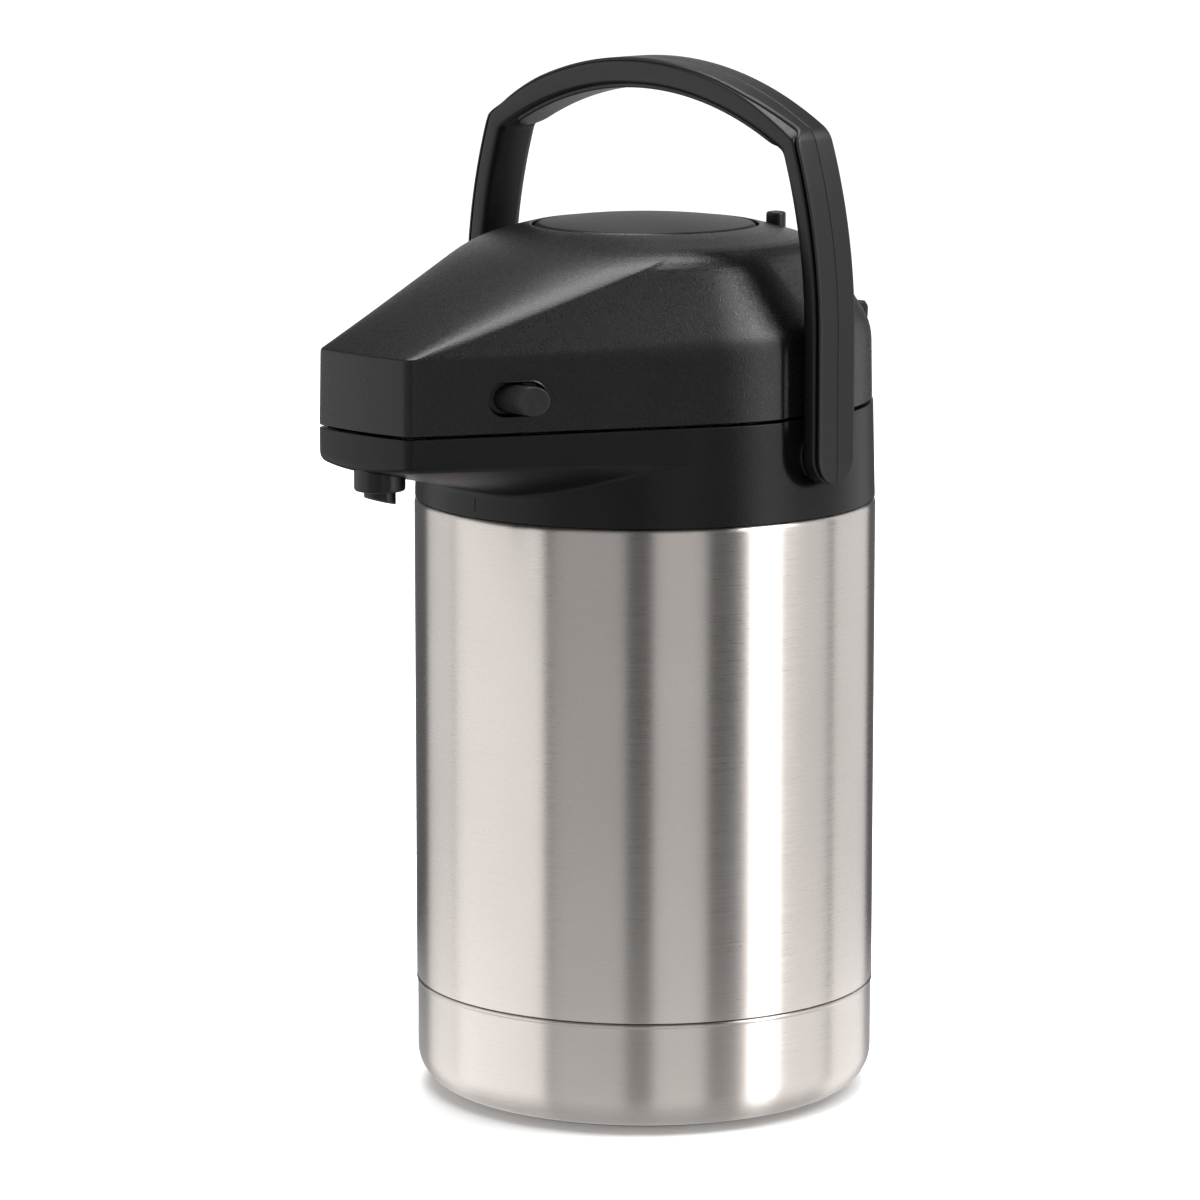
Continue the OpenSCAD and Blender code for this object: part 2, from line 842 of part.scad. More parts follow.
module lock_ring() {
    low = guide_top + clear;
    high = low + 2.4;
    outer = 56;
    scallop_r = 3;
    tab_angle = 10;
    tab_w = 5;
    peg_top = 314.5;
    peg_crown = 1.2;
    color(satin_black) rotate(90 - lock_angle) {
        difference() {
            ring(flange_r + 1.4, outer, low, high);
            for (a = [15 : 30 : 345]) rotate(a) translate([outer + 1, 0, 0])
                disc(scallop_r, low - 1, high + 1);
        }
        for (a = tab_angles) rotate(a - tab_angle / 2) rotate_extrude(angle = tab_angle)
            translate([button_r + 1.2, low]) square([tab_w, high - low]);
        translate([lock_r, 0, 0]) {
            disc(peg_w / 2, high - eps, peg_top);
            translate([0, 0, peg_top - eps]) rotate_extrude() dome_section(peg_w / 2, peg_crown);
        }
    }
}

// ---------- release buttons ----------

module release_button(side) {
    flange = release_flange_x;
    flange_out = flange + release_flange_t;
    peg_r = 1.6;
    leg_half = 3.8;
    leg_low = -16.5;
    tongue_low = -18.5;
    tongue_x = beak_side_x - 5.6;
    color(satin_black) at_release(side) {
        difference() {
            bar_x(release_r, flange_out, release_tip + 3);
            // end face parallel to the beak's side wall
            translate([release_tip, 0, 0]) rotate([0, 0, -beak_angle]) block([0, -20, -20], [20, 20, 20]);
        }
        bar_x(release_r + 2, flange, flange_out + 0.1);
        // peg that the spring sits on
        bar_x(peg_r, flange - 6.5, flange + 0.1);
        // latch leg and tongue
        block([flange, -leg_half, leg_low], [flange_out, leg_half, -4]);
        block([flange, -leg_half, tongue_low], [tongue_x, leg_half, leg_low + 0.1]);
    }
}

module release_spring(side) {
    start_x = 1.2;
    color(steel) at_release(side) translate([start_x, 0, 0]) rotate([0, 90, 0])
        coil_spring(2.6, 0.5, release_flange_x - 0.1 - start_x, 7, 12);
}

module release_left() { release_button(-1); }
module release_right() { release_button(1); }
module release_spring_left() { release_spring(-1); }
module release_spring_right() { release_spring(1); }

// ---------- handle ----------

// right half of the handle's outline, inset from the outside by arm on the arms and by grip on the arch
function bail_path(arm, grip) =
    let (half = handle_half - arm, straight_z = 280, lean_r = 200 - arm, arch_r = 148 - grip,
         corner = 9 - min(grip, 5),
         lean_c = [half - lean_r, straight_z], arch_c = [0, handle_top - grip - arch_r],
         c = common_centre(lean_c, lean_r - corner, arch_c, arch_r - corner),
         lean_a = atan2(c[1] - lean_c[1], c[0] - lean_c[0]),
         arch_a = atan2(c[1] - arch_c[1], c[0] - arch_c[0]))
    concat([[half, pivot_z]], arc(lean_c, lean_r, 0, lean_a, 12), arc(c, corner, lean_a, arch_a, 8, 1),
        arc(arch_c, arch_r, arch_a, 90, 24, 1));

// whole outline, from the right pivot over the top to the left pivot
function both_halves(path) =
    concat(path, [for (i = [len(path) - 2 : -1 : 0]) [-path[i][0], path[i][1]]]);

function reversed(path) = [for (i = [len(path) - 1 : -1 : 0]) path[i]];

// strap of width w between two insets of the handle's outline
module bail_band(w, arm0, grip0, arm1, grip1) {
    outer = both_halves(bail_path(arm0, grip0));
    inner = both_halves(bail_path(arm1, grip1));
    translate([0, pivot_y + w / 2, 0]) rotate([90, 0, 0]) linear_extrude(w)
        polygon(concat(outer, reversed(inner)));
    at_pivots() bar_x(w / 2, handle_half - arm1, handle_half - arm0);
}

module handle_frame() {
    color(satin_black) difference() {
        bail_band(handle_w, cover_t, cover_t, arm_t, grip_t);
        at_pivots() bar_x(pivot_r + running_gap, 70, 86.5);
    }
}

module handle_cover() {
    inset = 0.7;
    color(satin_black) bail_band(handle_w - 2 * inset, 0, 0, cover_t, cover_t);
}

outer_shell();
base_cup();
bottom_plate();
foot_pad();
flask_liner();
shell_gasket();
lower_housing();
neck_ring();
neck_gasket();
dip_tube();
tube_seal();
spout_conduit();
nozzle_housing();
nozzle_outlet();
nozzle_seal();
hinge_pin();
pivot_pins();
pivot_bushes();
lid_shell();
lid_floor();
lid_screws();
button_guide();
bellows();
return_spring();
air_valve();
lid_gasket();
release_spring_left();
release_spring_right();
push_button();
pusher_plate();
lock_ring();
release_left();
release_right();
handle_frame();
handle_cover();
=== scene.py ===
"""Looks of the thermal coffee airpot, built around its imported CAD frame.

Shapes are worked out in millimetres in the frame's axes (+Z up, spout towards -Y) and become metres
where their meshes are made.
"""

import math

import bmesh
import bpy
import numpy as np
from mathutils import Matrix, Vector


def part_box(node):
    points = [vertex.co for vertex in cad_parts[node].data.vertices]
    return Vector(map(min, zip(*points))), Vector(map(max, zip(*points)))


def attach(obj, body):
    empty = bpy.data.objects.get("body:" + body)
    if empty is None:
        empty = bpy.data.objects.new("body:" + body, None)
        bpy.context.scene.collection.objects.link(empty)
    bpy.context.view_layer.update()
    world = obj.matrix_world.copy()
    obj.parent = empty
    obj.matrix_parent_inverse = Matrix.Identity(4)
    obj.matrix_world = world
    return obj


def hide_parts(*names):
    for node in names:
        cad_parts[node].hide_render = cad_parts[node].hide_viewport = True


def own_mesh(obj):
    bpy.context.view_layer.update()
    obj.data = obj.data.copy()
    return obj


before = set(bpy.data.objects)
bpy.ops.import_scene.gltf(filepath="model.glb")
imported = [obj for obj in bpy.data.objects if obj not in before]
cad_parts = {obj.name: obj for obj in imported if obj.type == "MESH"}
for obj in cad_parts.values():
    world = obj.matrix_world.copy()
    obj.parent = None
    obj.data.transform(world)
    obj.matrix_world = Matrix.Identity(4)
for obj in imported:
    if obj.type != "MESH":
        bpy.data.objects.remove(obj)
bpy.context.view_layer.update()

MM = 0.001


# ---------------- sizes

def span(node):
    """Lowest and highest corner of a CAD node, in millimetres."""
    low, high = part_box(node)
    return np.array(low) / MM, np.array(high) / MM


shell_low, shell_high = span("outer_shell")
cup_low, _ = span("base_cup")
_, pad_high = span("foot_pad")
_, plate_high = span("bottom_plate")
housing_low, housing_high = span("lower_housing")
lid_low, _ = span("lid_shell")
button_low, button_high = span("push_button")
lock_low, lock_high = span("lock_ring")
_, handle_high = span("handle_cover")
frame_low, frame_high = span("handle_frame")
nozzle_low, nozzle_high = span("nozzle_housing")
_, outlet_high = span("nozzle_outlet")
release_low, _ = span("release_right")

BODY_R = shell_high[0]
SHEET = 1.2
NECK_R = 42.0
SHELL_TOP = 215.5
SEAM_Z = 40.7
BASE_EDGE_R = 13.0

HEAD_R = 81.0
COLLAR_BASE = housing_low[2]
COLLAR_TOP = 250.5
COLLAR_R = housing_high[0]
COLLAR_TOP_R = 81.4
LID_BASE = 251.5
BEAK_REACH = -lid_low[1]
BEAK_ANGLE = math.radians(26.6)
FRONT_R = 122.0
CORNER_R = 5.5
CREASE_Z = 277.5
DECK_R = 62.0
DECK_Z = 307.0
DECK_RISE = 10.3
WALL = 2.5
TRAY_BASE = 239.5
KEEL_Z = 225.4

BUTTON_R = 39.6
BUTTON_HOLE_R = BUTTON_R + 0.8
BUTTON_TOP = button_high[2]
BUTTON_RIM_Z = 313.2

POCKET_FLOOR = 78.5
POCKET_Y = 5.0
POCKET_HALF = 18.0
POCKET_BASE = 227.0
POCKET_CORNER = 12.0
POCKET_WALL = 2.6
POCKET_BEARINGS = (-12.5, 20.5)

PIVOT_Z = 237.6
HANDLE_TOP = handle_high[2]
HANDLE_HALF = handle_high[0]
STRAP_HALF = (frame_high[1] - frame_low[1]) / 2

HINGE_Y = 82.0
HINGE_Z = 252.0
HINGE_HALF = 26.0
KNUCKLE_HALF = 13.7
KNUCKLE_R = 4.0

NOZZLE_Y = -127.0
RELEASE_Y = -100.0
RELEASE_Z = 263.0
RELEASE_R = 5.0
RELEASE_WALL_X = (HEAD_R + RELEASE_Y * math.sin(BEAK_ANGLE)) / math.cos(BEAK_ANGLE)
RELEASE_TIP = 48.7
RELEASE_SINK = 4.0
LOCK_R = 50.0
PEG_BEARING = 66.0
LOCK_TRAVEL = 48.0
PEG_R = 3.5


# ---------------- mesh tools

UNDER_HALF = 0.49  # most of an edge that one corner's easing may take
EASE_STEPS = 6  # rows that stand for one eased corner


def unit(v):
    return v / np.maximum(np.linalg.norm(v, axis=-1, keepdims=True), 1e-9)


def smoothstep(low, high, x):
    t = np.clip((x - low) / (high - low), 0.0, 1.0)
    return t * t * (3.0 - 2.0 * t)


def bent(points, setbacks, steps=EASE_STEPS):
    """Rows of a closed control path (K, ..., dims). Each corner is eased by its setback."""
    rows = []
    count = len(points)
    for k in range(count):
        here = points[k]
        ease = np.asarray(setbacks[k], float)
        if np.max(ease) <= 0:
            rows.append(here)
            continue
        back = points[k - 1] - here
        ahead = points[(k + 1) % count] - here
        start, end = (
            here + unit(way) * np.minimum(ease, UNDER_HALF * np.linalg.norm(way, axis=-1))[..., None]
            for way in (back, ahead)
        )
        for t in np.linspace(0.0, 1.0, steps):
            rows.append((1 - t) ** 2 * start + 2 * t * (1 - t) * here + t * t * end)
    return rows


def filled(rows, step):
    """Adds evenly spaced rows between neighbours that are further apart than step."""
    out = [rows[0]]
    for before, after in zip(rows, rows[1:]):
        gap = np.max(np.linalg.norm(after - before, axis=-1))
        parts = max(1, int(math.ceil(gap / step)))
        for i in range(1, parts + 1):
            out.append(before + (after - before) * (i / parts))
    return out


def loft(rows, wrap_rows=True, wrap_columns=True):
    """Vertices and quads of a grid of points, as one list each."""
    grid = np.array(rows)
    height, width = grid.shape[:2]
    faces = []
    for i in range(height if wrap_rows else height - 1):
        low, high = i * width, (i + 1) % height * width
        for j in range(width if wrap_columns else width - 1):
            k = (j + 1) % width
            faces.append((low + j, low + k, high + k, high + j))
    return grid.reshape(-1, 3), faces


def capped(rows):
    """A loft of closed loops, with a flat face on its first loop and on its last."""
    verts, faces = loft(rows, wrap_rows=False)
    width = len(rows[0])
    top = (len(rows) - 1) * width
    faces.append(tuple(reversed(range(width))))
    faces.append(tuple(range(top, top + width)))
    return verts, faces


def signed_volume(verts, faces):
    """Volume inside the faces, which is negative when they look inwards."""
    corners = [(face[0], a, b) for face in faces for a, b in zip(face[1:-1], face[2:])]
    a, b, c = verts[np.array(corners)].transpose(1, 0, 2)
    return np.einsum("ij,ij->", a, np.cross(b, c))


def joined(*parts):
    """Several (verts, faces) as one, each turned so that its faces look outwards."""
    all_verts, all_faces = [], []
    start = 0
    for verts, faces in parts:
        verts = np.asarray(verts, float)
        turn = -1 if signed_volume(verts, faces) < 0 else 1
        all_verts.append(verts)
        all_faces += [tuple(start + i for i in face[::turn]) for face in faces]
        start += len(verts)
    return np.concatenate(all_verts), all_faces


def linked(name, data):
    """A new object of the scene that holds data."""
    obj = bpy.data.objects.new(name, data)
    bpy.context.scene.collection.objects.link(obj)
    return obj


def new_object(name, shape, material=None):
    """A mesh object from (verts in millimetres, faces)."""
    verts, faces = joined(shape)
    mesh = bpy.data.meshes.new(name)
    mesh.from_pydata((verts * MM).tolist(), [], faces)
    mesh.validate()
    if material:
        mesh.materials.append(material)
    return linked(name, mesh)


def merged(obj, distance=2e-6):
    """Welds vertices that lie on each other, such as those at a pole."""
    work = bmesh.new()
    work.from_mesh(obj.data)
    bmesh.ops.remove_doubles(work, verts=work.verts, dist=distance)
    bmesh.ops.dissolve_degenerate(work, dist=distance / 2, edges=work.edges)
    work.to_mesh(obj.data)
    work.free()
    return obj


def cut(obj, *cutters):
    """Takes the cutters' shapes, given as (verts, faces), out of obj."""
    for i, shape in enumerate(cutters):
        tool = new_object(f"cutter_{i}", shape)
        modifier = obj.modifiers.new("cut", "BOOLEAN")
        modifier.object = tool
        modifier.operation = "DIFFERENCE"
        modifier.solver = "EXACT"
        bpy.context.view_layer.update()
        result = obj.evaluated_get(bpy.context.evaluated_depsgraph_get())
        mesh = bpy.data.meshes.new_from_object(result)
        obj.modifiers.remove(modifier)
        obj.data = mesh
        bpy.data.objects.remove(tool)
    return obj


def finished(obj, body, nodes=(), sharp=38):
    """Shades a piece, and says what it rides on and which CAD nodes it stands for."""
    obj.data.shade_smooth()
    obj.data.set_sharp_from_angle(angle=math.radians(sharp))
    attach(obj, body)
    if nodes:
        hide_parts(*nodes)
    return obj


def piece(name, shape, material, body, nodes=(), sharp=38):
    return finished(merged(new_object(name, shape, material)), body, nodes, sharp)


# ---------------- shape families

def turned(profile, setbacks, segments=192, centre=(0.0, 0.0), step=30.0):
    """Body of revolution about a vertical axis, from a closed loop of (radius, height)."""
    rows = bent(np.array(profile, float), setbacks)
    rows = filled(rows + [rows[0]], step)[:-1]
    angles = np.linspace(0.0, 2 * math.pi, segments, endpoint=False)
    around = np.stack([np.cos(angles), np.sin(angles)], axis=1)
    return loft([at_height(centre + radius * around, height) for radius, height in rows])


def along_x(shape, x, y, z, mirror=1):
    """Lays a shape made about the Z axis so that its axis runs along X, from x outwards."""
    verts, faces = shape
    laid = np.stack([x + mirror * verts[:, 2], y + verts[:, 0], z + verts[:, 1]], axis=1)
    return laid, faces


def slab(outline, low, high, edge=0.0, axis=2):
    """Prism of a convex 2D outline between two levels on an axis, with eased edges."""
    outline = np.array(outline, float)
    middle = outline.mean(axis=0)
    inner = outline + unit(middle - outline) * edge
    levels = [(inner, low), (outline, low + edge), (outline, high - edge), (inner, high)]
    if edge == 0:
        levels = [(outline, low), (outline, high)]
    return capped([np.insert(loop, axis, level, axis=1) for loop, level in levels])


def rectangle(left, right, low, high):
    return [(left, low), (right, low), (right, high), (left, high)]


def arc(centre, radius, start, end, count):
    """Points of an arc, angles in degrees."""
    return centre + radius * directions(np.linspace(start, end, count))


# ---------------- plan of the head

WALL_NORMAL = np.array([math.cos(BEAK_ANGLE), -math.sin(BEAK_ANGLE)])
WALL_RUN = np.array([-math.sin(BEAK_ANGLE), -math.cos(BEAK_ANGLE)])
FRONT_CENTRE = np.array([0.0, FRONT_R - BEAK_REACH])
WALL_NORMAL_ANGLE = -math.degrees(BEAK_ANGLE)


def corner_centre(inset):
    """Centre of the beak's vertical corner, for an outline moved inwards by inset."""
    from_wall = HEAD_R - inset - CORNER_R
    from_front = FRONT_R - inset - CORNER_R
    across = from_wall - FRONT_CENTRE @ WALL_NORMAL
    run = FRONT_CENTRE @ WALL_RUN + math.sqrt(from_front ** 2 - across ** 2)
    return WALL_NORMAL * from_wall + WALL_RUN * run


def half_plan(inset):
    """Right half of the head's outline from the front to the back: points, and normal angles.

    The samples are close together where the arm pocket is pressed in.
    """
    corner = corner_centre(inset)
    corner_angle = bearing_of(corner - FRONT_CENTRE)
    radius = HEAD_R - inset
    bow_samples, corner_samples, wall_samples, circle_samples = 14, 18, 74, (12, 76, 50)
    bow_angles = np.linspace(-90, corner_angle, bow_samples)[:-1]
    bow = FRONT_CENTRE + (FRONT_R - inset) * directions(bow_angles)
    round_angles = np.linspace(corner_angle, WALL_NORMAL_ANGLE, corner_samples)
    rounding = corner + CORNER_R * directions(round_angles)
    share = np.linspace(0, 1, wall_samples)[1:-1, None]
    wall = rounding[-1] * (1 - share) + WALL_NORMAL * radius * share
    wall_angles = np.full(len(wall), WALL_NORMAL_ANGLE)
    circle_angles = np.concatenate([
        np.linspace(WALL_NORMAL_ANGLE, POCKET_BEARINGS[0], circle_samples[0])[:-1],
        np.linspace(*POCKET_BEARINGS, circle_samples[1])[:-1],
        np.linspace(POCKET_BEARINGS[1], 90, circle_samples[2]),
    ])
    circle = radius * directions(circle_angles)
    points = np.concatenate([bow, rounding, wall, circle])
    angles = np.concatenate([bow_angles, round_angles, wall_angles, circle_angles])
    return points, angles


def along(points):
    """Distance travelled along a line of points, at each of them."""
    return np.concatenate([[0.0], np.cumsum(np.linalg.norm(np.diff(points, axis=0), axis=1))])


def bearing_of(v):
    """Angle of a 2D vector, or of each row of them, in degrees."""
    return np.degrees(np.arctan2(v[..., 1], v[..., 0]))


def directions(degrees):
    radians = np.radians(degrees)
    return np.stack([np.cos(radians), np.sin(radians)], axis=-1)


def mirrored_angles(right):
    """Angles of the whole outline, from those of its right half."""
    return np.concatenate([right, 180.0 - right[-2:0:-1]])


def plan(inset):
    """Whole outline, anticlockwise from the front: points, and normal angles."""
    points, angles = half_plan(inset)
    left = points[-2:0:-1] * [-1, 1]
    return np.concatenate([points, left]), mirrored_angles(angles)


def fan_angles(share=0.18, corner_blur=5.0, wall_blur=20.0):
    """Angle on the deck that each point of the plan leads to: mostly its normal, partly its bearing.

    It is averaged along the outline, so that the slopes run into each other: closely at the beak's
    corners, and softly where the side walls meet the round back.
    """
    points, angles = half_plan(0.0)
    mixed = (1 - share) * angles + share * bearing_of(points)
    travelled = along(points)
    toward_back = smoothstep(60.0, 125.0, travelled)
    blur = corner_blur + (wall_blur - corner_blur) * toward_back
    blur = np.minimum(blur, np.minimum(travelled, travelled[-1] - travelled) / 2)
    for scale in (1.0, 0.5):
        offsets = np.linspace(-scale, scale, 9)
        mixed = np.mean([np.interp(travelled + k * blur, travelled, mixed) for k in offsets], axis=0)
    return mirrored_angles(mixed)


def at_height(points, z):
    """Plan points lifted to a height, which may be one number or one for each point."""
    return np.concatenate([points, np.broadcast_to(z, (len(points),))[:, None]], axis=1)


def ring_at(radius, z, bearings):
    return at_height(radius * directions(bearings), z)


def pressed_pocket(rows, floor=POCKET_FLOOR, grow=0.0, edge=6.0, soft=0.5):
    """Sinks the arm pockets into the head's sides: a flat floor whose edges are eased."""
    grid = np.array(rows)
    x, y, z = grid[..., 0], grid[..., 1], grid[..., 2]
    half = POCKET_HALF + grow - POCKET_CORNER
    below = POCKET_BASE - grow + POCKET_CORNER - z
    across = np.maximum(np.abs(y - POCKET_Y) - half, 0.0)
    outside = np.hypot(across, np.maximum(below, 0.0)) - POCKET_CORNER
    mask = smoothstep(0.0, edge, -outside)
    proud = soft * np.logaddexp(0.0, (np.abs(x) - floor) / soft)
    grid[..., 0] = np.sign(x) * (np.abs(x) - mask * proud)
    return list(grid)


def pocketed_shell(rows, split, outer_step, inner_step):
    """Closed shell from its outer rows and then its inner rows, with the pockets pressed into both."""
    outside = pressed_pocket(filled(rows[:split], outer_step))
    inside = pressed_pocket(filled(rows[split:], inner_step), floor=POCKET_FLOOR - POCKET_WALL, grow=3.0)
    return loft(outside + inside)


# ---------------- materials

class Nodes:
    """Short way to build one material's node tree. Each keyword is a constant of its shader."""

    def __init__(self, name, **constants):
        self.material = bpy.data.materials.new(name)
        self.material.use_nodes = True
        self.tree = self.material.node_tree
        self.shader = self.tree.nodes["Principled BSDF"]
        for socket, value in constants.items():
            self.feed(self.shader, socket.replace("_", " "), value)
        self.place = self.add("ShaderNodeTexCoord").outputs["Object"]

    def feed(self, node, socket, value):
        """Links an input to another node's output, or sets it to a constant."""
        if isinstance(value, bpy.types.NodeSocket):
            self.tree.links.new(value, node.inputs[socket])
        else:
            node.inputs[socket].default_value = value

    def add(self, kind, inputs=None, **settings):
        node = self.tree.nodes.new(kind)
        for key, value in settings.items():
            setattr(node, key, value)
        for socket, value in (inputs or {}).items():
            self.feed(node, socket, value)
        return node

    def stretched(self, scale):
        """Object coordinates, scaled differently on each axis."""
        return self.add("ShaderNodeMapping", {"Vector": self.place, "Scale": scale}).outputs["Vector"]

    def around_axis(self, turn_scale, height_scale):
        """Coordinates wrapped around the Z axis: bearing and height."""
        split = self.add("ShaderNodeSeparateXYZ", {"Vector": self.place}).outputs
        bearing = self.math("ARCTAN2", split["Y"], split["X"])
        x = self.math("MULTIPLY", bearing, turn_scale)
        z = self.math("MULTIPLY", split["Z"], height_scale)
        return self.add("ShaderNodeCombineXYZ", {"X": x, "Z": z}).outputs[0]

    def math(self, operation, a, b):
        return self.add("ShaderNodeMath", {0: a, 1: b}, operation=operation).outputs[0]

    def noise(self, vector, scale, detail=4.0, roughness=0.55):
        inputs = {"Vector": vector, "Scale": scale, "Detail": detail, "Roughness": roughness}
        return self.add("ShaderNodeTexNoise", inputs).outputs["Fac"]

    def cells(self, vector, scale):
        inputs = {"Vector": vector, "Scale": scale, "Smoothness": 0.6, "Randomness": 1.0}
        return self.add("ShaderNodeTexVoronoi", inputs, feature="SMOOTH_F1").outputs["Distance"]

    def ranged(self, value, low, high):
        """A noise, whose values lie mostly from 0.3 to 0.7, brought to the range from low to high."""
        inputs = {"Value": value, "From Min": 0.3, "From Max": 0.7, "To Min": low, "To Max": high}
        return self.add("ShaderNodeMapRange", inputs).outputs["Result"]

    def colour(self, value, tone, darkest, lightest):
        """Base colour that wanders between two shares of a tone as a noise does."""
        dark, light = ((*(c * share for c in tone), 1.0) for share in (darkest, lightest))
        inputs = {"Factor": self.ranged(value, 0.0, 1.0), "A": dark, "B": light}
        mix = self.add("ShaderNodeMix", inputs, data_type="RGBA")
        self.feed(self.shader, "Base Color", mix.outputs["Result"])

    def roughness(self, value):
        self.feed(self.shader, "Roughness", value)

    def bump(self, *layers):
        """Layers of (height, strength, distance in metres), the first one lowest."""
        normal = {}
        for height, strength, distance in layers:
            inputs = {"Height": height, "Strength": strength, "Distance": distance, **normal}
            normal = {"Normal": self.add("ShaderNodeBump", inputs).outputs["Normal"]}
        self.feed(self.shader, "Normal", normal["Normal"])


def grained_plastic(name, tone, rough=0.38, grain=0.8, gloss=0.5):
    """Moulded plastic with the fine leather-like grain of a spark-eroded mould."""
    m = Nodes(name, Metallic=0.0, IOR=1.54, Specular_IOR_Level=gloss)
    broad = m.noise(m.place, 26.0, 3.0)
    pits = m.cells(m.place, 2300.0)
    fine = m.noise(m.place, 3600.0, 2.0)
    m.colour(broad, tone, 0.85, 1.2)
    m.roughness(m.ranged(m.noise(m.place, 900.0), rough - 0.02, rough + 0.03))
    m.bump((pits, grain, 0.0001), (fine, grain * 0.5, 0.00006))
    return m.material


def satin_plastic(name, tone, rough=0.38):
    """Smoother moulded plastic with faint flow marks and handling marks."""
    m = Nodes(name, Metallic=0.0, IOR=1.54)
    flow = m.noise(m.stretched((1.0, 1.0, 0.35)), 45.0, 3.0)
    fine = m.noise(m.place, 3200.0, 2.0)
    m.colour(flow, tone, 0.88, 1.15)
    m.roughness(m.ranged(m.noise(m.place, 500.0, 6.0), rough - 0.04, rough + 0.05))
    m.bump((fine, 0.22, 0.00004))
    return m.material


def brushed_steel(name, tone=(0.66, 0.62, 0.59), rough=0.29):
    """Stainless steel brushed around the pot's axis, so its streaks run level."""
    m = Nodes(name, Metallic=1.0, Anisotropic=1.0, Anisotropic_Rotation=0.25)
    tangent = m.add("ShaderNodeTangent", direction_type="RADIAL", axis="Z")
    m.feed(m.shader, "Tangent", tangent.outputs[0])
    long_streaks = m.noise(m.around_axis(3.0, 2600.0), 1.0, 5.0, 0.7)
    short_streaks = m.noise(m.around_axis(26.0, 6200.0), 1.0, 3.0, 0.6)
    clouds = m.noise(m.place, 9.0, 3.0)
    shares = m.math("MULTIPLY", long_streaks, 0.6), m.math("MULTIPLY", short_streaks, 0.4)
    streaks = m.math("ADD", *shares)
    m.colour(streaks, tone, 0.84, 1.08)
    wear = m.ranged(clouds, -0.03, 0.03)
    m.roughness(m.math("ADD", m.ranged(streaks, rough - 0.06, rough + 0.1), wear))
    m.bump((long_streaks, 0.2, 0.00003), (short_streaks, 0.18, 0.00002))
    return m.material


def drawn_steel(name, tone=(0.6, 0.6, 0.6), rough=0.24):
    """Bright steel of tubes, pins, springs and screws."""
    m = Nodes(name, Metallic=1.0)
    lines = m.noise(m.stretched((2200.0, 2200.0, 60.0)), 1.0, 3.0)
    m.colour(lines, tone, 0.86, 1.0)
    m.roughness(m.ranged(m.noise(m.place, 240.0), rough - 0.05, rough + 0.1))
    m.bump((lines, 0.1, 0.00002))
    return m.material


def moulded_rubber(name, tone, rough=0.7):
    m = Nodes(name, Metallic=0.0, IOR=1.45)
    dust = m.noise(m.place, 75.0, 5.0)
    m.colour(dust, tone, 0.85, 1.3)
    m.roughness(m.ranged(m.noise(m.place, 420.0), rough - 0.07, rough + 0.08))
    m.bump((m.noise(m.place, 1700.0), 0.3, 0.00008))
    return m.material


BLACK = (0.006, 0.006, 0.0061)
SATIN = (0.007, 0.007, 0.0071)
PLUNGER = (0.02, 0.02, 0.02)

lid_black = grained_plastic("lid_grained_black", BLACK, rough=0.28, grain=0.62)
collar_black = grained_plastic("collar_grained_black", BLACK, rough=0.3, grain=0.45, gloss=0.33)
handle_black = satin_plastic("handle_satin_black", SATIN, rough=0.32)
cover_black = satin_plastic("strap_satin_black", SATIN, rough=0.4)
button_black = grained_plastic("button_satin_black", SATIN, rough=0.38, grain=0.3)
plunger_black = satin_plastic("plunger_satin_black", PLUNGER, rough=0.3)
nozzle_black = satin_plastic("nozzle_black", BLACK, rough=0.34)
inner_black = satin_plastic("inner_black", (0.02, 0.02, 0.021), rough=0.48)
natural_plastic = satin_plastic("natural_white_plastic", (0.72, 0.71, 0.67), rough=0.42)
shell_steel = brushed_steel("shell_brushed_steel")
base_steel = brushed_steel("base_brushed_steel", rough=0.3)
liner_steel = brushed_steel("liner_steel", (0.56, 0.56, 0.56), rough=0.22)
bright_steel = drawn_steel("bright_steel")
black_rubber = moulded_rubber("black_rubber", (0.018, 0.018, 0.018))
grey_silicone = moulded_rubber("grey_silicone", (0.42, 0.42, 0.4), rough=0.5)

# materials of the CAD pieces that are shown as they are
node_materials = {
    liner_steel: ["flask_liner"],
    black_rubber: ["shell_gasket", "nozzle_seal"],
    natural_plastic: ["neck_ring", "spout_conduit", "button_guide", "pusher_plate"],
    grey_silicone: ["neck_gasket", "tube_seal", "air_valve", "lid_gasket"],
    bright_steel: ["dip_tube", "hinge_pin", "pivot_pins", "lid_screws"],
    inner_black: ["lid_floor"],
}
for node_material, node_names in node_materials.items():
    for node_name in node_names:
        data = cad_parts[node_name].data
        data.materials.clear()
        data.materials.append(node_material)
        data.shade_smooth()
        data.set_sharp_from_angle(angle=math.radians(32))


# ---------------- flask

def steel_shell():
    seat, neck_top = shell_low[2], shell_high[2]
    inner_r, neck_bore, ledge = BODY_R - SHEET, NECK_R - SHEET, SHELL_TOP - SHEET
    profile = [
        (BODY_R, seat), (BODY_R, SHELL_TOP), (NECK_R, SHELL_TOP), (NECK_R, neck_top),
        (neck_bore, neck_top), (neck_bore, ledge), (inner_r, ledge), (inner_r, seat),
    ]
    setbacks = [0.35, 2.2, 4.0, 0.3, 0.3, 3.0, 1.5, 0.3]
    return turned(profile, setbacks, segments=256, step=6.0)


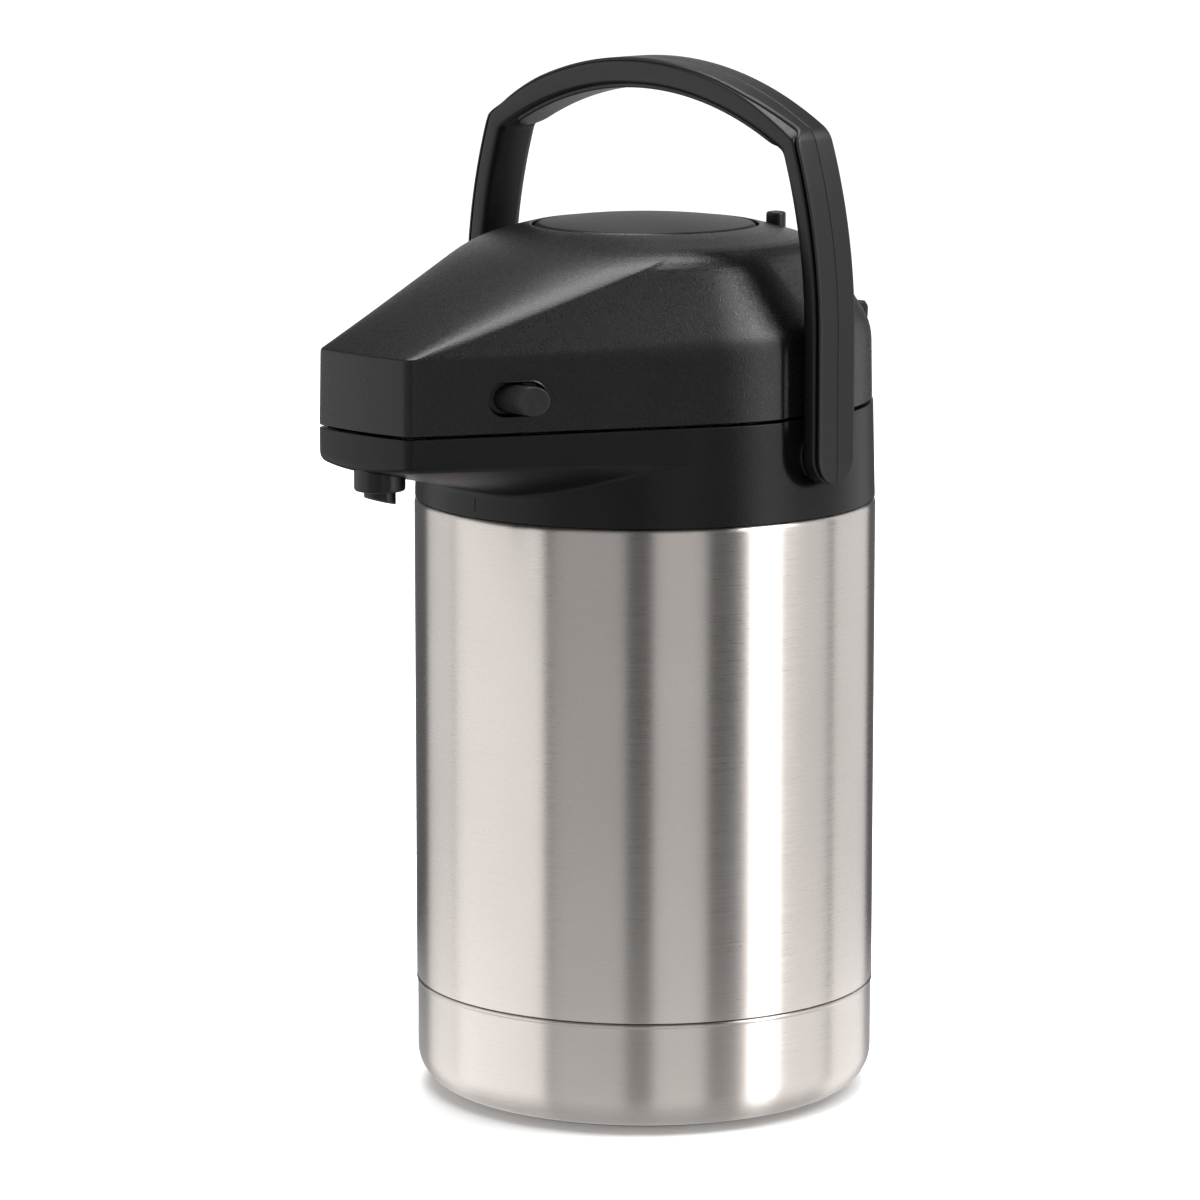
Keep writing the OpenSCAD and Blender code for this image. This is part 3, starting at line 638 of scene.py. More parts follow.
def steel_cup():
    """Cup that closes the shell. Its rim is rolled outwards a little and shows as a bright line."""
    r = BODY_R - 0.35
    bead_r = r + 0.42
    inner_r, sleeve_r = r - SHEET, r - 2 * SHEET
    base, sleeve_top = cup_low[2], SEAM_Z + 5.5
    open_r = 66.0
    turn = (r - BASE_EDGE_R, base + BASE_EDGE_R)
    steps = 14
    profile = [
        (open_r, base), *arc(turn, BASE_EDGE_R, -90, 0, steps),
        (r, SEAM_Z - 1.5), (bead_r, SEAM_Z - 1.05), (bead_r, SEAM_Z - 0.45), (r - 0.1, SEAM_Z),
        (inner_r, SEAM_Z), (inner_r - 0.4, sleeve_top), (sleeve_r, sleeve_top), (sleeve_r, SEAM_Z - 2),
        (inner_r, SEAM_Z - 5), *arc(turn, BASE_EDGE_R - SHEET, 0, -90, steps), (open_r, base + SHEET),
    ]
    rim_setbacks = [0.2, 0.35, 0.35, 0.3, 0.1, 0.3, 0.3, 0.3, 0.3]
    setbacks = [0.25] + [0] * steps + rim_setbacks + [0] * steps + [0.25]
    return turned(profile, setbacks, segments=256, step=5.0)


def rubber_foot():
    r, _, top = pad_high
    profile = [(0, 0)]
    for groove in (51, 57):
        profile += [(groove, 0), (groove + 1, 0.8), (groove + 3, 0.8), (groove + 4, 0)]
    profile += [(r, 0), (r, top), (0, top)]
    setbacks = [0] + [0.25] * 8 + [0.9, 0.4, 0]
    return turned(profile, setbacks, segments=160)


def base_plate():
    low, top = pad_high[2], plate_high[2]
    profile = [(0, low), (65.5, low), (65.5, 3), (70, 3), (70, 5), (60, 5), (60, top), (57, top),
               (57, 5), (48, 5), (48, 4), (40, 4), (40, 5), (0, 5)]
    setbacks = [0] + [0.4] * 12 + [0]
    return turned(profile, setbacks, segments=160)


piece("steel_shell", steel_shell(), shell_steel, "root", ["outer_shell"])
piece("steel_base_cup", steel_cup(), base_steel, "root", ["base_cup"])
piece("rubber_foot", rubber_foot(), black_rubber, "root", ["foot_pad"])
piece("base_plate", base_plate(), inner_black, "root", ["bottom_plate"])


# ---------------- collar and beak tray

def hinge_knuckle(x0, x1, up):
    """Hinge knuckle with the web that joins it to a wall, above the pin or below it."""
    turn = 1 if up else -1
    sweep = arc((HINGE_Y, HINGE_Z), KNUCKLE_R, 60 * turn, -170 * turn, 24)
    foot = [(HINGE_Y - 5.0, HINGE_Z + 7.5 * turn), (HINGE_Y - 1.2, HINGE_Z + 8.5 * turn)]
    return slab(list(sweep) + foot, x0, x1, edge=0.5, axis=0)


def knuckle_room(x0, x1):
    return slab(arc((HINGE_Y, HINGE_Z), KNUCKLE_R + 0.7, 0, 345, 24), x0, x1, axis=0)


def collar_radius(z):
    rise = (z - COLLAR_BASE) / (COLLAR_TOP - COLLAR_BASE)
    return COLLAR_R + (COLLAR_TOP_R - COLLAR_R) * rise


def keel_bearings():
    """Where each plan point's ruling comes down on the collar: its bearing, and its way from the front.

    The second value is 0 at the front and 1 where the beak's side walls leave the collar.
    """
    points, angles = half_plan(0.0)
    travelled = along(points)
    last = np.searchsorted(angles, WALL_NORMAL_ANGLE, side="right") - 1
    sweep = 90.0 + WALL_NORMAL_ANGLE
    spread = sweep * travelled / travelled[last] - 90.0
    right = np.where(travelled < travelled[last], spread, bearing_of(points))
    away = (right + 90.0) / sweep
    return mirrored_angles(right), np.concatenate([away, away[-2:0:-1]])


def collar_and_tray():
    """The collar and the beak's tray as one shell, joined by the slopes of the keel."""
    points, _ = plan(0.0)
    inner_points, _ = plan(WALL)
    join_r = COLLAR_R - 0.45
    reach = np.linalg.norm(points, axis=1)
    on_beak = smoothstep(join_r, join_r + 6.0, reach)
    bowed = np.clip(1 - (points[:, 0] / 24.0) ** 2, 0, 1)
    tray_z = TRAY_BASE - 1.8 * smoothstep(118.0, 134.0, -points[:, 1]) * bowed
    bearing, away = keel_bearings()
    join_z = KEEL_Z + (TRAY_BASE - KEEL_Z) * smoothstep(0.12, 1.1, away)

    def collar(z):
        return at_height(np.reshape(collar_radius(z), (-1, 1)) * directions(bearing), z)

    def tray(z):
        """The beak's outline, or the collar's where that is further out."""
        return at_height(points * np.maximum(1.0, collar_radius(z) / reach)[:, None], z)

    under_tray = np.minimum(join_z, tray_z - 0.6)
    outer = [collar(COLLAR_BASE), collar(under_tray), tray(tray_z), tray(COLLAR_TOP)]
    outer_ease = [0.4, 0.1 + 2.3 * on_beak, 0.1 + 3.1 * on_beak, 0.45]
    bore, shelf_bore, shelf_base, shelf_top = 78.6, 46.0, 229.0, 231.5
    inner = [at_height(inner_points, COLLAR_TOP), at_height(inner_points, TRAY_BASE + WALL)]
    for radius, z in ((bore, shelf_top), (shelf_bore, shelf_top), (shelf_bore, shelf_base),
                      (bore, shelf_base), (bore, COLLAR_BASE)):
        inner.append(ring_at(radius, z, bearing))
    inner_ease = [0.3, 1.5, 1.2, 0.3, 0.3, 1.5, 0.3]
    rows = bent(np.array(outer + inner), outer_ease + inner_ease)
    return pocketed_shell(rows, EASE_STEPS * len(outer), outer_step=1.3, inner_step=9.0)


def nozzle_hole():
    return slab(arc((0, NOZZLE_Y), nozzle_high[0] + 0.12, 0, 354, 60), 200.0, 248.0)


def mould_mark(x):
    """Room of a short upright line in the collar's front, near the centre plane."""
    half, deep = 0.16, -COLLAR_R + 0.55
    return slab(rectangle(x - half, x + half, -90.0, deep), COLLAR_BASE + 2.4, COLLAR_BASE + 7.2)


def nozzle_socket():
    """Disc on the tray's floor that covers the nozzle block's top."""
    outline = arc((0, NOZZLE_Y + 1.4), nozzle_high[0] - 0.05, 0, 354, 48)
    return slab(outline, 243.4, 246.0, edge=0.4)


housing = merged(new_object("collar_and_tray", collar_and_tray(), collar_black))
cut(housing, nozzle_hole(), mould_mark(-0.6),
    knuckle_room(-HINGE_HALF - 0.6, -KNUCKLE_HALF), knuckle_room(KNUCKLE_HALF, HINGE_HALF + 0.6))
finished(housing, "root", ["lower_housing"], sharp=32)
piece("collar_knuckle", hinge_knuckle(-KNUCKLE_HALF, KNUCKLE_HALF, up=False), collar_black, "root")
piece("nozzle_socket", nozzle_socket(), collar_black, "root")


# ---------------- nozzle

def nozzle_block():
    r = nozzle_high[0]
    bore = outlet_high[0] + 0.05
    top, low = nozzle_high[2], nozzle_low[2]
    profile = [(r, top), (r, low), (bore, low), (bore, top - 2), (0, top - 2), (0, top)]
    setbacks = [0.6, 1.1, 0.25, 0.3, 0, 0]
    return turned(profile, setbacks, segments=96, centre=(0, NOZZLE_Y), step=1.5)


def nozzle_chamfer():
    """Wedge that slants the block's lower rear edge."""
    back, base = NOZZLE_Y + nozzle_high[0], nozzle_low[2]
    outline = [(back - 3.2, base - 1.5), (back + 3, base - 1.5), (back + 3, base + 4.8)]
    return slab(outline, -20.0, 20.0, axis=0)


def outlet_tube():
    """Tube whose mouth slants: higher at the front than at the back."""
    r = outlet_high[0]
    bore = r - 1.6
    mouth, slant_top, top = 226.6, 232.0, 236.0
    slope = math.tan(math.radians(17.0))
    profile = [(r, top), (r, mouth), (bore, mouth), (bore, top)]
    verts, faces = turned(profile, [0.2, 0.45, 0.45, 0.2], segments=72, centre=(0, NOZZLE_Y), step=1.0)
    slant = np.clip((slant_top - verts[:, 2]) / (slant_top - mouth), 0.0, 1.0)
    verts[:, 2] += slant * (NOZZLE_Y - verts[:, 1]) * slope
    return verts, faces


nozzle = merged(new_object("nozzle_block", nozzle_block(), nozzle_black))
cut(nozzle, nozzle_chamfer())
finished(nozzle, "root", ["nozzle_housing"])
piece("outlet_tube", outlet_tube(), nozzle_black, "root", ["nozzle_outlet"])


# ---------------- lid

def dome(radius):
    """Height of the deck at a radius."""
    curve = (DECK_R ** 2 + DECK_RISE ** 2) / (2 * DECK_RISE)
    return DECK_Z + DECK_RISE - curve + np.sqrt(curve ** 2 - radius ** 2)


def lid_moulding():
    """Wall, slopes and domed deck of the lid, with the sleeve that the button slides in."""
    insets = (0.0, 0.45, WALL, WALL + 0.9)
    foot, crease, inner_foot, inner_crease = (plan(inset)[0] for inset in insets)
    fan = fan_angles()
    forward = smoothstep(20.0, 136.0, -foot[:, 1])
    slope_length = np.linalg.norm(at_height(crease, CREASE_Z) - ring_at(DECK_R, DECK_Z, fan), axis=1)
    deck = [ring_at(r, dome(r), fan) for r in (DECK_R - 16, DECK_R - 18.5)]
    sleeve_r, sleeve_base = BUTTON_HOLE_R + 3, 292.0
    outer = [
        at_height(foot, LID_BASE), at_height(crease, CREASE_Z),
        ring_at(DECK_R, DECK_Z + 0.2, fan), *deck,
        ring_at(BUTTON_HOLE_R, dome(BUTTON_HOLE_R), fan), ring_at(BUTTON_HOLE_R, sleeve_base, fan),
    ]
    slope_ease = np.clip(0.2 * slope_length, 7.0, 15.0)
    outer_ease = [0.4, 5.5 - 4.5 * forward, slope_ease, *[0] * len(deck), 0.8, 0.3]
    inner = [
        ring_at(sleeve_r, sleeve_base, fan), ring_at(sleeve_r, 304.0, fan),
        ring_at(DECK_R - 4, 303.5, fan), at_height(inner_crease, CREASE_Z - 1.5),
        at_height(inner_foot, LID_BASE),
    ]
    inner_ease = [0.3, 0.6, 2.0, 2.0, 0.3]
    rows = bent(np.array(outer + inner), outer_ease + inner_ease)
    split = EASE_STEPS * (len(outer) - len(deck)) + len(deck)
    return pocketed_shell(rows, split, outer_step=1.5, inner_step=8.0)


def beside_wall(shape, side, depth):
    """Turns a shape made with +X as its outward axis so that it sits on the beak's side wall."""
    verts, faces = shape
    c, s = math.cos(BEAK_ANGLE), math.sin(BEAK_ANGLE)
    out = verts[:, 0] - depth
    x = RELEASE_WALL_X + out * c + verts[:, 1] * s
    y = RELEASE_Y - out * s + verts[:, 1] * c
    return np.stack([side * x, y, RELEASE_Z + verts[:, 2]], axis=1), faces


def oval(half_length, radius, count=16):
    straight = half_length - radius
    right = arc((straight, 0), radius, -90, 90, count)
    left = arc((-straight, 0), radius, 90, 270, count)
    return np.concatenate([right, left])


def oval_cutter(side):
    return beside_wall(slab(oval(10.5, 6.0), -3.0, 12.0, axis=0), side, depth=RELEASE_SINK)


def release_dish(side):
    """Oval dish set into the beak's wall, with a round bore for the release button."""
    mouth, back = oval(10.5, 6.0), oval(11.6, 7.1)
    angles = np.linspace(-90, 270, len(mouth), endpoint=False)
    bore = np.array([0.55, 0.0]) + RELEASE_R * 1.07 * directions(angles)
    levels = [(mouth, RELEASE_SINK), (oval(10.45, 5.95), 0.9), (oval(9.6, 5.1), 0.0), (bore, 0.0),
              (bore, -1.6), (back, -1.6), (back, 3.2)]
    loops = [np.insert(loop, 0, level, axis=1) for loop, level in levels]
    return beside_wall(loft(loops), side, depth=RELEASE_SINK)


def lock_slot():
    """Arc slot in the deck for the lock peg."""
    half = PEG_R + 0.4
    start, end = PEG_BEARING, PEG_BEARING + LOCK_TRAVEL
    outer = arc((0, 0), LOCK_R + half, start, end, 24)
    first = arc(LOCK_R * directions(end), half, end, end + 180, 14)
    inner = arc((0, 0), LOCK_R - half, end, start, 24)
    last = arc(LOCK_R * directions(start), half, start + 180, start + 360, 14)
    outline = np.concatenate([outer, first[1:], inner[1:], last[1:-1]])
    return slab(outline, 300.0, 330.0)


def rear_lug():
    """Lug that stands out of the lid's back above the hinge."""
    profile = [
        (77, 262), (82, 266), (88.2, 271.6), (89, 273), (89, 278.6), (87.6, 280.2), (80, 281), (75, 280),
    ]
    return slab(profile, -HINGE_HALF, HINGE_HALF, edge=1.1, axis=0)


lid = merged(new_object("lid_moulding", lid_moulding(), lid_black))
cut(lid, oval_cutter(1), oval_cutter(-1), lock_slot(),
    knuckle_room(-KNUCKLE_HALF - 0.3, KNUCKLE_HALF + 0.3))
finished(lid, "lid", ["lid_shell"], sharp=30)
piece("rear_lug", rear_lug(), lid_black, "lid")
for label, side in (("right", 1), ("left", -1)):
    piece(f"release_dish_{label}", release_dish(side), lid_black, "lid")
    verts, faces = hinge_knuckle(KNUCKLE_HALF + 0.3, HINGE_HALF, up=True)
    piece(f"lid_knuckle_{label}", (verts * [side, 1, 1], faces), lid_black, "lid")


# ---------------- push button and lock

def button_cap():
    """Slightly domed cap, with a flange at the foot of its skirt."""
    low = button_low[2]
    flange_r, flange_top = BUTTON_R + 4.3, low + 2.5
    crown_r, crown_rise = BUTTON_R - 1.6, BUTTON_TOP - BUTTON_RIM_Z
    bore, roof = BUTTON_R - 2.4, 310.8
    steps = 8
    profile = [(flange_r, low), (flange_r, flange_top), (BUTTON_R, flange_top),
               (BUTTON_R, BUTTON_RIM_Z - 1.0)]
    for out in np.linspace(1, 0, steps + 1):
        profile.append((crown_r * out, BUTTON_RIM_Z + crown_rise * (1 - out ** 2)))
    profile += [(0, roof), (bore, roof), (bore, low)]
    setbacks = [0.3, 0.3, 0.3, 1.1, 0.5] + [0] * steps + [0, 1.0, 0.3]
    return turned(profile, setbacks, step=2.5)


def lock_lever():
    """Lock ring under the deck, with the peg that stands up through the slot."""
    low = lock_low[2]
    band = turned(rectangle(45.3, 56, low, low + 2.4), [0.4] * 4, step=3.0)
    top = lock_high[2]
    stem = [(0, low + 2.0), (PEG_R, low + 2.0), (PEG_R, top - 0.5), (0, top)]
    peg_at = LOCK_R * directions(PEG_BEARING)
    peg = turned(stem, [0, 0.3, 0.9, 0], segments=48, centre=peg_at, step=2.0)
    return joined(band, peg)


piece("button_cap", button_cap(), button_black, "button", ["push_button"])
piece("lock_lever", lock_lever(), handle_black, "lock", ["lock_ring"])


# ---------------- release buttons

def release_button(side):
    """Plunger along X whose end is cut level with the beak's side wall, with its latch behind it."""
    neck = 9.0
    neck_x, flange_x = RELEASE_WALL_X - neck, RELEASE_WALL_X - neck - 2.5
    latch_x, latch_z, half = RELEASE_WALL_X - 11.4, RELEASE_Z - 18.5, 3.8
    length = RELEASE_TIP - neck_x
    r = RELEASE_R
    groove_r = r - 0.35
    profile = [(0, 0), (r, 0), (r, length - 1.9), (groove_r, length - 1.7), (groove_r, length - 1.3),
               (r, length - 1.1), (r, length), (0, length)]
    verts, faces = turned(profile, [0, 0.3, 0.1, 0.1, 0.1, 0.2, 0.7, 0], segments=64, step=1.2)
    tilt = smoothstep(length - neck, length - 2.0, verts[:, 2])
    verts[:, 2] += tilt * verts[:, 0] * math.tan(BEAK_ANGLE)
    plunger = along_x((verts, faces), neck_x, RELEASE_Y, RELEASE_Z)
    flange = turned(rectangle(0, r + 2, 0, 2.5), [0, 0.4, 0.4, 0], segments=64)
    guide = turned(rectangle(0, 1.6, 0, 7), [0, 0.4, 0, 0], segments=32)
    front, rear = RELEASE_Y - half, RELEASE_Y + half
    leg = rectangle(front, rear, RELEASE_Z - 18.4, RELEASE_Z - 4)
    tongue = [(latch_x, latch_z), (latch_x + 5.2, latch_z), (latch_x + 5.8, latch_z + 0.9),
              (latch_x + 5.0, latch_z + 2.1), (latch_x, latch_z + 2.1)]
    verts, faces = joined(
        plunger,
        along_x(flange, flange_x, RELEASE_Y, RELEASE_Z),
        along_x(guide, release_low[0], RELEASE_Y, RELEASE_Z),
        slab(leg, flange_x, neck_x, edge=0.4, axis=0),
        slab(tongue, front, rear, edge=0.3, axis=1),
    )
    return verts * [side, 1, 1], faces


SPRING_TURNS = 7
LATCH_SPRING_R, LATCH_WIRE_R = 2.6, 0.45
PUMP_SPRING_R, PUMP_WIRE_R = 16.0, 1.1


def coil(radius, wire, length, turns, per_turn, sides=8):
    """Helical spring along Z from zero, with flat-lying end turns."""
    share = np.linspace(0, 1, turns * per_turn + 1)
    lift = wire + (length - 2 * wire) * smoothstep(-0.12, 1.12, share)
    lift = wire + (length - 2 * wire) * (lift - lift[0]) / (lift[-1] - lift[0])
    loops = []
    around = np.linspace(0, 2 * math.pi, sides, endpoint=False)
    r = radius + wire * np.cos(around)
    for done, z in zip(share, lift):
        turn = done * turns * 2 * math.pi
        ring = [r * math.cos(turn), r * math.sin(turn), z + wire * np.sin(around)]
        loops.append(np.stack(ring, axis=1))
    return capped(loops)


for label, side in (("right", 1), ("left", -1)):
    piece(f"release_plunger_{label}", release_button(side), plunger_black, f"release_{label}",
          [f"release_{label}"])
    spring_low, spring_high = span(f"release_spring_{label}")
    spring_length = spring_high[0] - spring_low[0]
    spring_start = min(abs(spring_low[0]), abs(spring_high[0]))
    spring = coil(LATCH_SPRING_R, LATCH_WIRE_R, spring_length, SPRING_TURNS, per_turn=20, sides=6)
    spring = along_x(spring, side * spring_start, RELEASE_Y, RELEASE_Z, mirror=side)
    spring_piece = piece(f"latch_spring_{label}", spring, bright_steel, "lid",
                         [f"release_spring_{label}"])
    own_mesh(spring_piece)


# ---------------- pump

bellows_low, bellows_high = span("bellows")


def pump_bellows(folds=8):
    base, top = bellows_low[2], bellows_high[2]
    pitch = (top - base) / folds
    crest, root, wall = bellows_high[0], 27.0, 1.92
    outside = []
    for i in range(folds):
        outside += [(root, base + i * pitch), (crest, base + (i + 0.5) * pitch)]
    outside.append((root, top))
    inside = [(radius - wall, height) for radius, height in reversed(outside)]
    setbacks = [0.2] + [1.3] * (2 * folds - 1) + [0.2, 0.2] + [1.0] * (2 * folds - 1) + [0.2]
    return turned(outside + inside, setbacks, segments=96)


pump_height = bellows_high[2] - bellows_low[2]
bellows = piece("pump_bellows", pump_bellows(), black_rubber, "lid", ["bellows"], sharp=60)
play = 0.1
spring_length = pump_height - 2 * play
spring_verts, spring_faces = coil(PUMP_SPRING_R, PUMP_WIRE_R, spring_length, SPRING_TURNS, per_turn=36)
spring_verts += [0, 0, bellows_low[2] + play]
pump_spring = piece("pump_spring", (spring_verts, spring_faces), bright_steel, "lid", ["return_spring"],
                    sharp=60)
for soft_piece in (bellows, pump_spring):
    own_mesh(soft_piece)


# ---------------- handle

LEAN_START_Z = 280.0
LEAN_R = 200.0
ARCH_R = 148.0
ARCH_CENTRE = np.array([0.0, HANDLE_TOP - ARCH_R])
CORNER_BEND = 9.0
GRIP_T = 9.7
ARM_T = 8.7
STRAP_T = 1.1
GROOVE = 0.9
GRIP_EDGE_WIDE, GRIP_EDGE_HIGH = 0.9, 0.7
ARM_SAMPLES, LEAN_SAMPLES, CORNER_SAMPLES, ARCH_SAMPLES = 22, 30, 14, 44


def crossing(c1, r1, c2, r2):
    """Point at distance r1 from c1 and r2 from c2, on the left of the line between them."""
    gap = c2 - c1
    d = np.linalg.norm(gap)
    u = gap / d
    ahead = (r1 ** 2 - r2 ** 2 + d ** 2) / (2 * d)
    across = math.sqrt(r1 ** 2 - ahead ** 2)
    return c1 + u * ahead + np.array([-u[1], u[0]]) * across


def bail(arm, grip):
    """Right half of the bail's outline (x, z) from the pivot to the top, inset by arm and by grip."""
    half = HANDLE_HALF - arm
    corner = CORNER_BEND - min(grip, 5.0)
    lean_c = np.array([half - (LEAN_R - arm), LEAN_START_Z])
    arch_r = ARCH_R - grip
    centre = crossing(lean_c, LEAN_R - arm - corner, ARCH_CENTRE, arch_r - corner)
    lean_angle = bearing_of(centre - lean_c)
    arch_angle = bearing_of(centre - ARCH_CENTRE)
    arm_z = np.linspace(PIVOT_Z, LEAN_START_Z, ARM_SAMPLES, endpoint=False)
    straight = np.stack([np.full(len(arm_z), half), arm_z], axis=1)
    lean = arc(lean_c, LEAN_R - arm, 0, lean_angle, LEAN_SAMPLES)[:-1]
    bend = arc(centre, corner, lean_angle, arch_angle, CORNER_SAMPLES)[:-1]
    arch = arc(ARCH_CENTRE, arch_r, arch_angle, 90, ARCH_SAMPLES)
    return np.concatenate([straight, lean, bend, arch])


def end_round(count=11):
    """Drop below the pivot and share of the full width, along the arm's round end."""
    angles = np.radians(np.linspace(87, 0, count)[:-1])
    return STRAP_HALF * np.sin(angles), np.cos(angles)


def bail_paths(arm0, grip0, arm1, grip1):
    """Outer and inner outline of a band, from the round end to the top, with the width share."""
    drop, width = end_round()
    paths = []
    for path in (bail(arm0, grip0), bail(arm1, grip1)):
        end = np.stack([np.full(len(drop), path[0, 0]), PIVOT_Z - drop], axis=1)
        share = np.concatenate([width, np.ones(len(path))])
        paths.append(np.concatenate([end, path]))
    return *paths, share


def whole_bail(section, outer, inner, share):
    """Control lines of a section's points along the bail. A width or level may vary by sample."""
    lines = []
    for width, level in section:
        path = inner + (outer - inner) * np.reshape(level, (-1, 1))
        lines.append(np.insert(path, 1, POCKET_Y + width * share, axis=1))
    return np.array(lines)


def swept(section, setbacks, outer, inner, share):
    rows = bent(whole_bail(section, outer, inner, share), setbacks, steps=5)
    right = np.array(rows).transpose(1, 0, 2)
    left = right[-2::-1] * [-1, 1, 1]
    return capped(list(np.concatenate([right, left])))


def along_top(outer):
    """How far each sample is on the grip rather than on the arm, and how near it is to the corner."""
    travelled = along(outer)
    bend_start = travelled[-ARCH_SAMPLES - CORNER_SAMPLES + 1]
    bend_end = travelled[-ARCH_SAMPLES]
    bend = bend_end - bend_start
    on_arch = smoothstep(bend_start - 0.4 * bend, bend_start + 0.9 * bend, travelled)
    toward_corner = np.clip(outer[:, 0] / outer[-ARCH_SAMPLES, 0], 0.0, 1.0)
    return on_arch, toward_corner


def chamfer(outer):
    """Width and height of the chamfer on the grip's front edge, and the grip's share of each sample."""
    on_arch, toward_corner = along_top(outer)
    growth = np.clip((toward_corner - 0.68) / 0.32, 0.0, 1.0) ** 1.3
    return GRIP_EDGE_WIDE + 3.2 * growth * on_arch, GRIP_EDGE_HIGH + 0.9 * growth * on_arch, on_arch


def handle_bar():
    outer, inner, share = bail_paths(STRAP_T, STRAP_T, ARM_T, GRIP_T)
    thick = np.linalg.norm(outer - inner, axis=1)
    front_wide, front_high, on_arch = chamfer(outer)

    def side(wide, high):
        """Control points of one side, from the inner corner to the groove beside the strap."""
        groove_level = 1 - GROOVE * (1 - on_arch) / thick
        edge_level = groove_level - on_arch * high / thick
        shoulder = STRAP_HALF - 2.2 * (1 - on_arch) - wide * on_arch
        lip = shoulder + 0.35 * (1 - on_arch)
        return [(STRAP_HALF, 0), (STRAP_HALF, edge_level), (lip, groove_level), (shoulder, 1)]

    front = side(front_wide, front_high)[::-1]
    section = [(-a, b) for a, b in front] + side(GRIP_EDGE_WIDE, GRIP_EDGE_HIGH)
    eases = [3.4 * share, 0.9, 0.25, 0.3]
    return swept(section, eases[::-1] + eases, outer, inner, share)


def handle_strap():
    outer, inner, share = bail_paths(0, 0, STRAP_T - 0.03, STRAP_T - 0.03)
    front_wide, _, on_arch = chamfer(outer)
    edge = 0.72 - 0.3 * on_arch

    def side(wide):
        """Control points of one side, from the inner edge to the fine parting line in the middle."""
        half = (STRAP_HALF - 0.75) * (1 - on_arch) + (STRAP_HALF - wide + 0.15) * on_arch
        return [(half, 0), (half, edge), (half - 0.95, 0.96), (0.3, 1)]

    parting = [(0, 0.78)]
    section = [(-a, b) for a, b in side(front_wide)] + parting + side(GRIP_EDGE_WIDE)[::-1]
    eases = [0.12, 0.3, 0.4, 0.08]
    return swept(section, eases + [0.08] + eases[::-1], outer, inner, share)


def grip_pad():
    """Raised pad on the grip's underside, with round ends short of the corners."""
    sunk, proud, half_width, low = 0.4, 1.5, 7.2, 0.15
    corner = bail(GRIP_T - sunk, GRIP_T - sunk)[-ARCH_SAMPLES]
    start = bearing_of(corner - ARCH_CENTRE) + 0.2
    reach = np.linspace(1.0, 0.0, 40)
    ways = directions(90 - (90 - start) * reach)
    outer = ARCH_CENTRE + (ARCH_R - GRIP_T + sunk) * ways
    inner = ARCH_CENTRE + (ARCH_R - GRIP_T - proud) * ways
    share = np.sqrt(np.clip(1 - (np.clip(reach - 0.92, 0, 1) / 0.081) ** 2, 0.0, 1.0))
    share = np.maximum(share, 0.05)
    section = [(-half_width, low), (-half_width, 1), (half_width, 1), (half_width, low)]
    return swept(section, [1.1 * share, 0.2, 0.2, 1.1 * share], outer, inner, share)


def pivot_bush(side):
    bore, radius, thick = 4.02, 8.6, 2.5
    disc = turned(rectangle(bore, radius, 0, thick), [0.3, 0.2, 0.7, 0.3], segments=72)
    return along_x(disc, side * POCKET_FLOOR, POCKET_Y, PIVOT_Z, mirror=side)


piece("handle_bar", handle_bar(), handle_black, "handle", ["handle_frame"], sharp=30)
piece("handle_strap", handle_strap(), cover_black, "handle", ["handle_cover"], sharp=24)
piece("grip_pad", grip_pad(), handle_black, "handle")
piece("pivot_discs", joined(pivot_bush(1), pivot_bush(-1)), handle_black, "root", ["pivot_bushes"])


# ---------------- floor, lights and camera

CAMERA_BEARING = 45.5
CAMERA_DISTANCE = 1.945
CAMERA_HEIGHT = 0.513
CAMERA_AIM = Vector((-0.0112, -0.0115, 0.177))
CAMERA_LENS = 164.8
VIEW_GAMMA = 0.82
WORLD_STRENGTH = 0.2
SKY_STRENGTH = 3.4
SKY_SPREAD = math.radians(60.0)

# upright softboxes around the pot: bearings of both ends from the camera's side, and radiance
SOFTBOXES = {
    "left_far_softbox": (-136, -108, 0.85),
    "left_softbox": (-107, -50, 1.12),
    "front_left_fill": (-46, -9, 0.47),
    "front_right_fill": (4, 31, 0.64),
    "right_strip": (53, 70, 2.9),
    "right_fill": (72, 102, 0.85),
    "rear_right_fill": (106, 145, 0.85),
    "back_fill": (166, 194, 0.5),
}
SOFTBOX_DISTANCE = 1.6
SOFTBOX_HEIGHT = 3.0
SOFTBOX_AIM = Vector((0.0, 0.0, 0.3))

# square panels overhead: bearing from the camera's side, elevation, size in metres and radiance
PANELS = {
    "top_panel": (180, 78, 0.95, 5.5),
    "upper_right_panel": (79, 44, 0.6, 8.5),
}
PANEL_DISTANCE = 1.5
PANEL_AIM = Vector((0.0, 0.0, 0.25))


def toward(bearing):
    """Level direction from the pot to a viewer at that bearing; 0 is in front, 90 is on its right."""
    a = math.radians(bearing)
    return Vector((math.sin(a), -math.cos(a), 0.0))


def floor_plane(size=40.0, thickness=0.02):
    m = Nodes("floor_pale", Roughness=0.9)
    m.colour(m.noise(m.place, 3.0), (0.87, 0.87, 0.87), 1.0, 0.88 / 0.87)
    half = size / MM
    square = rectangle(-half, half, -half, half)
    floor = new_object("floor", slab(square, -thickness / MM, 0.0), m.material)
    floor.visible_glossy = False


def aimed(obj, location, aim):
    """Puts a light or a camera at its location and turns it towards its aim."""
    obj.location = location
    obj.rotation_euler = (aim - location).to_track_quat("-Z", "Y").to_euler()
    return obj


def add_light(name, kind, location, aim):
    light = aimed(linked(name, bpy.data.lights.new(name, kind)), location, aim)
    light.visible_camera = False
    return light


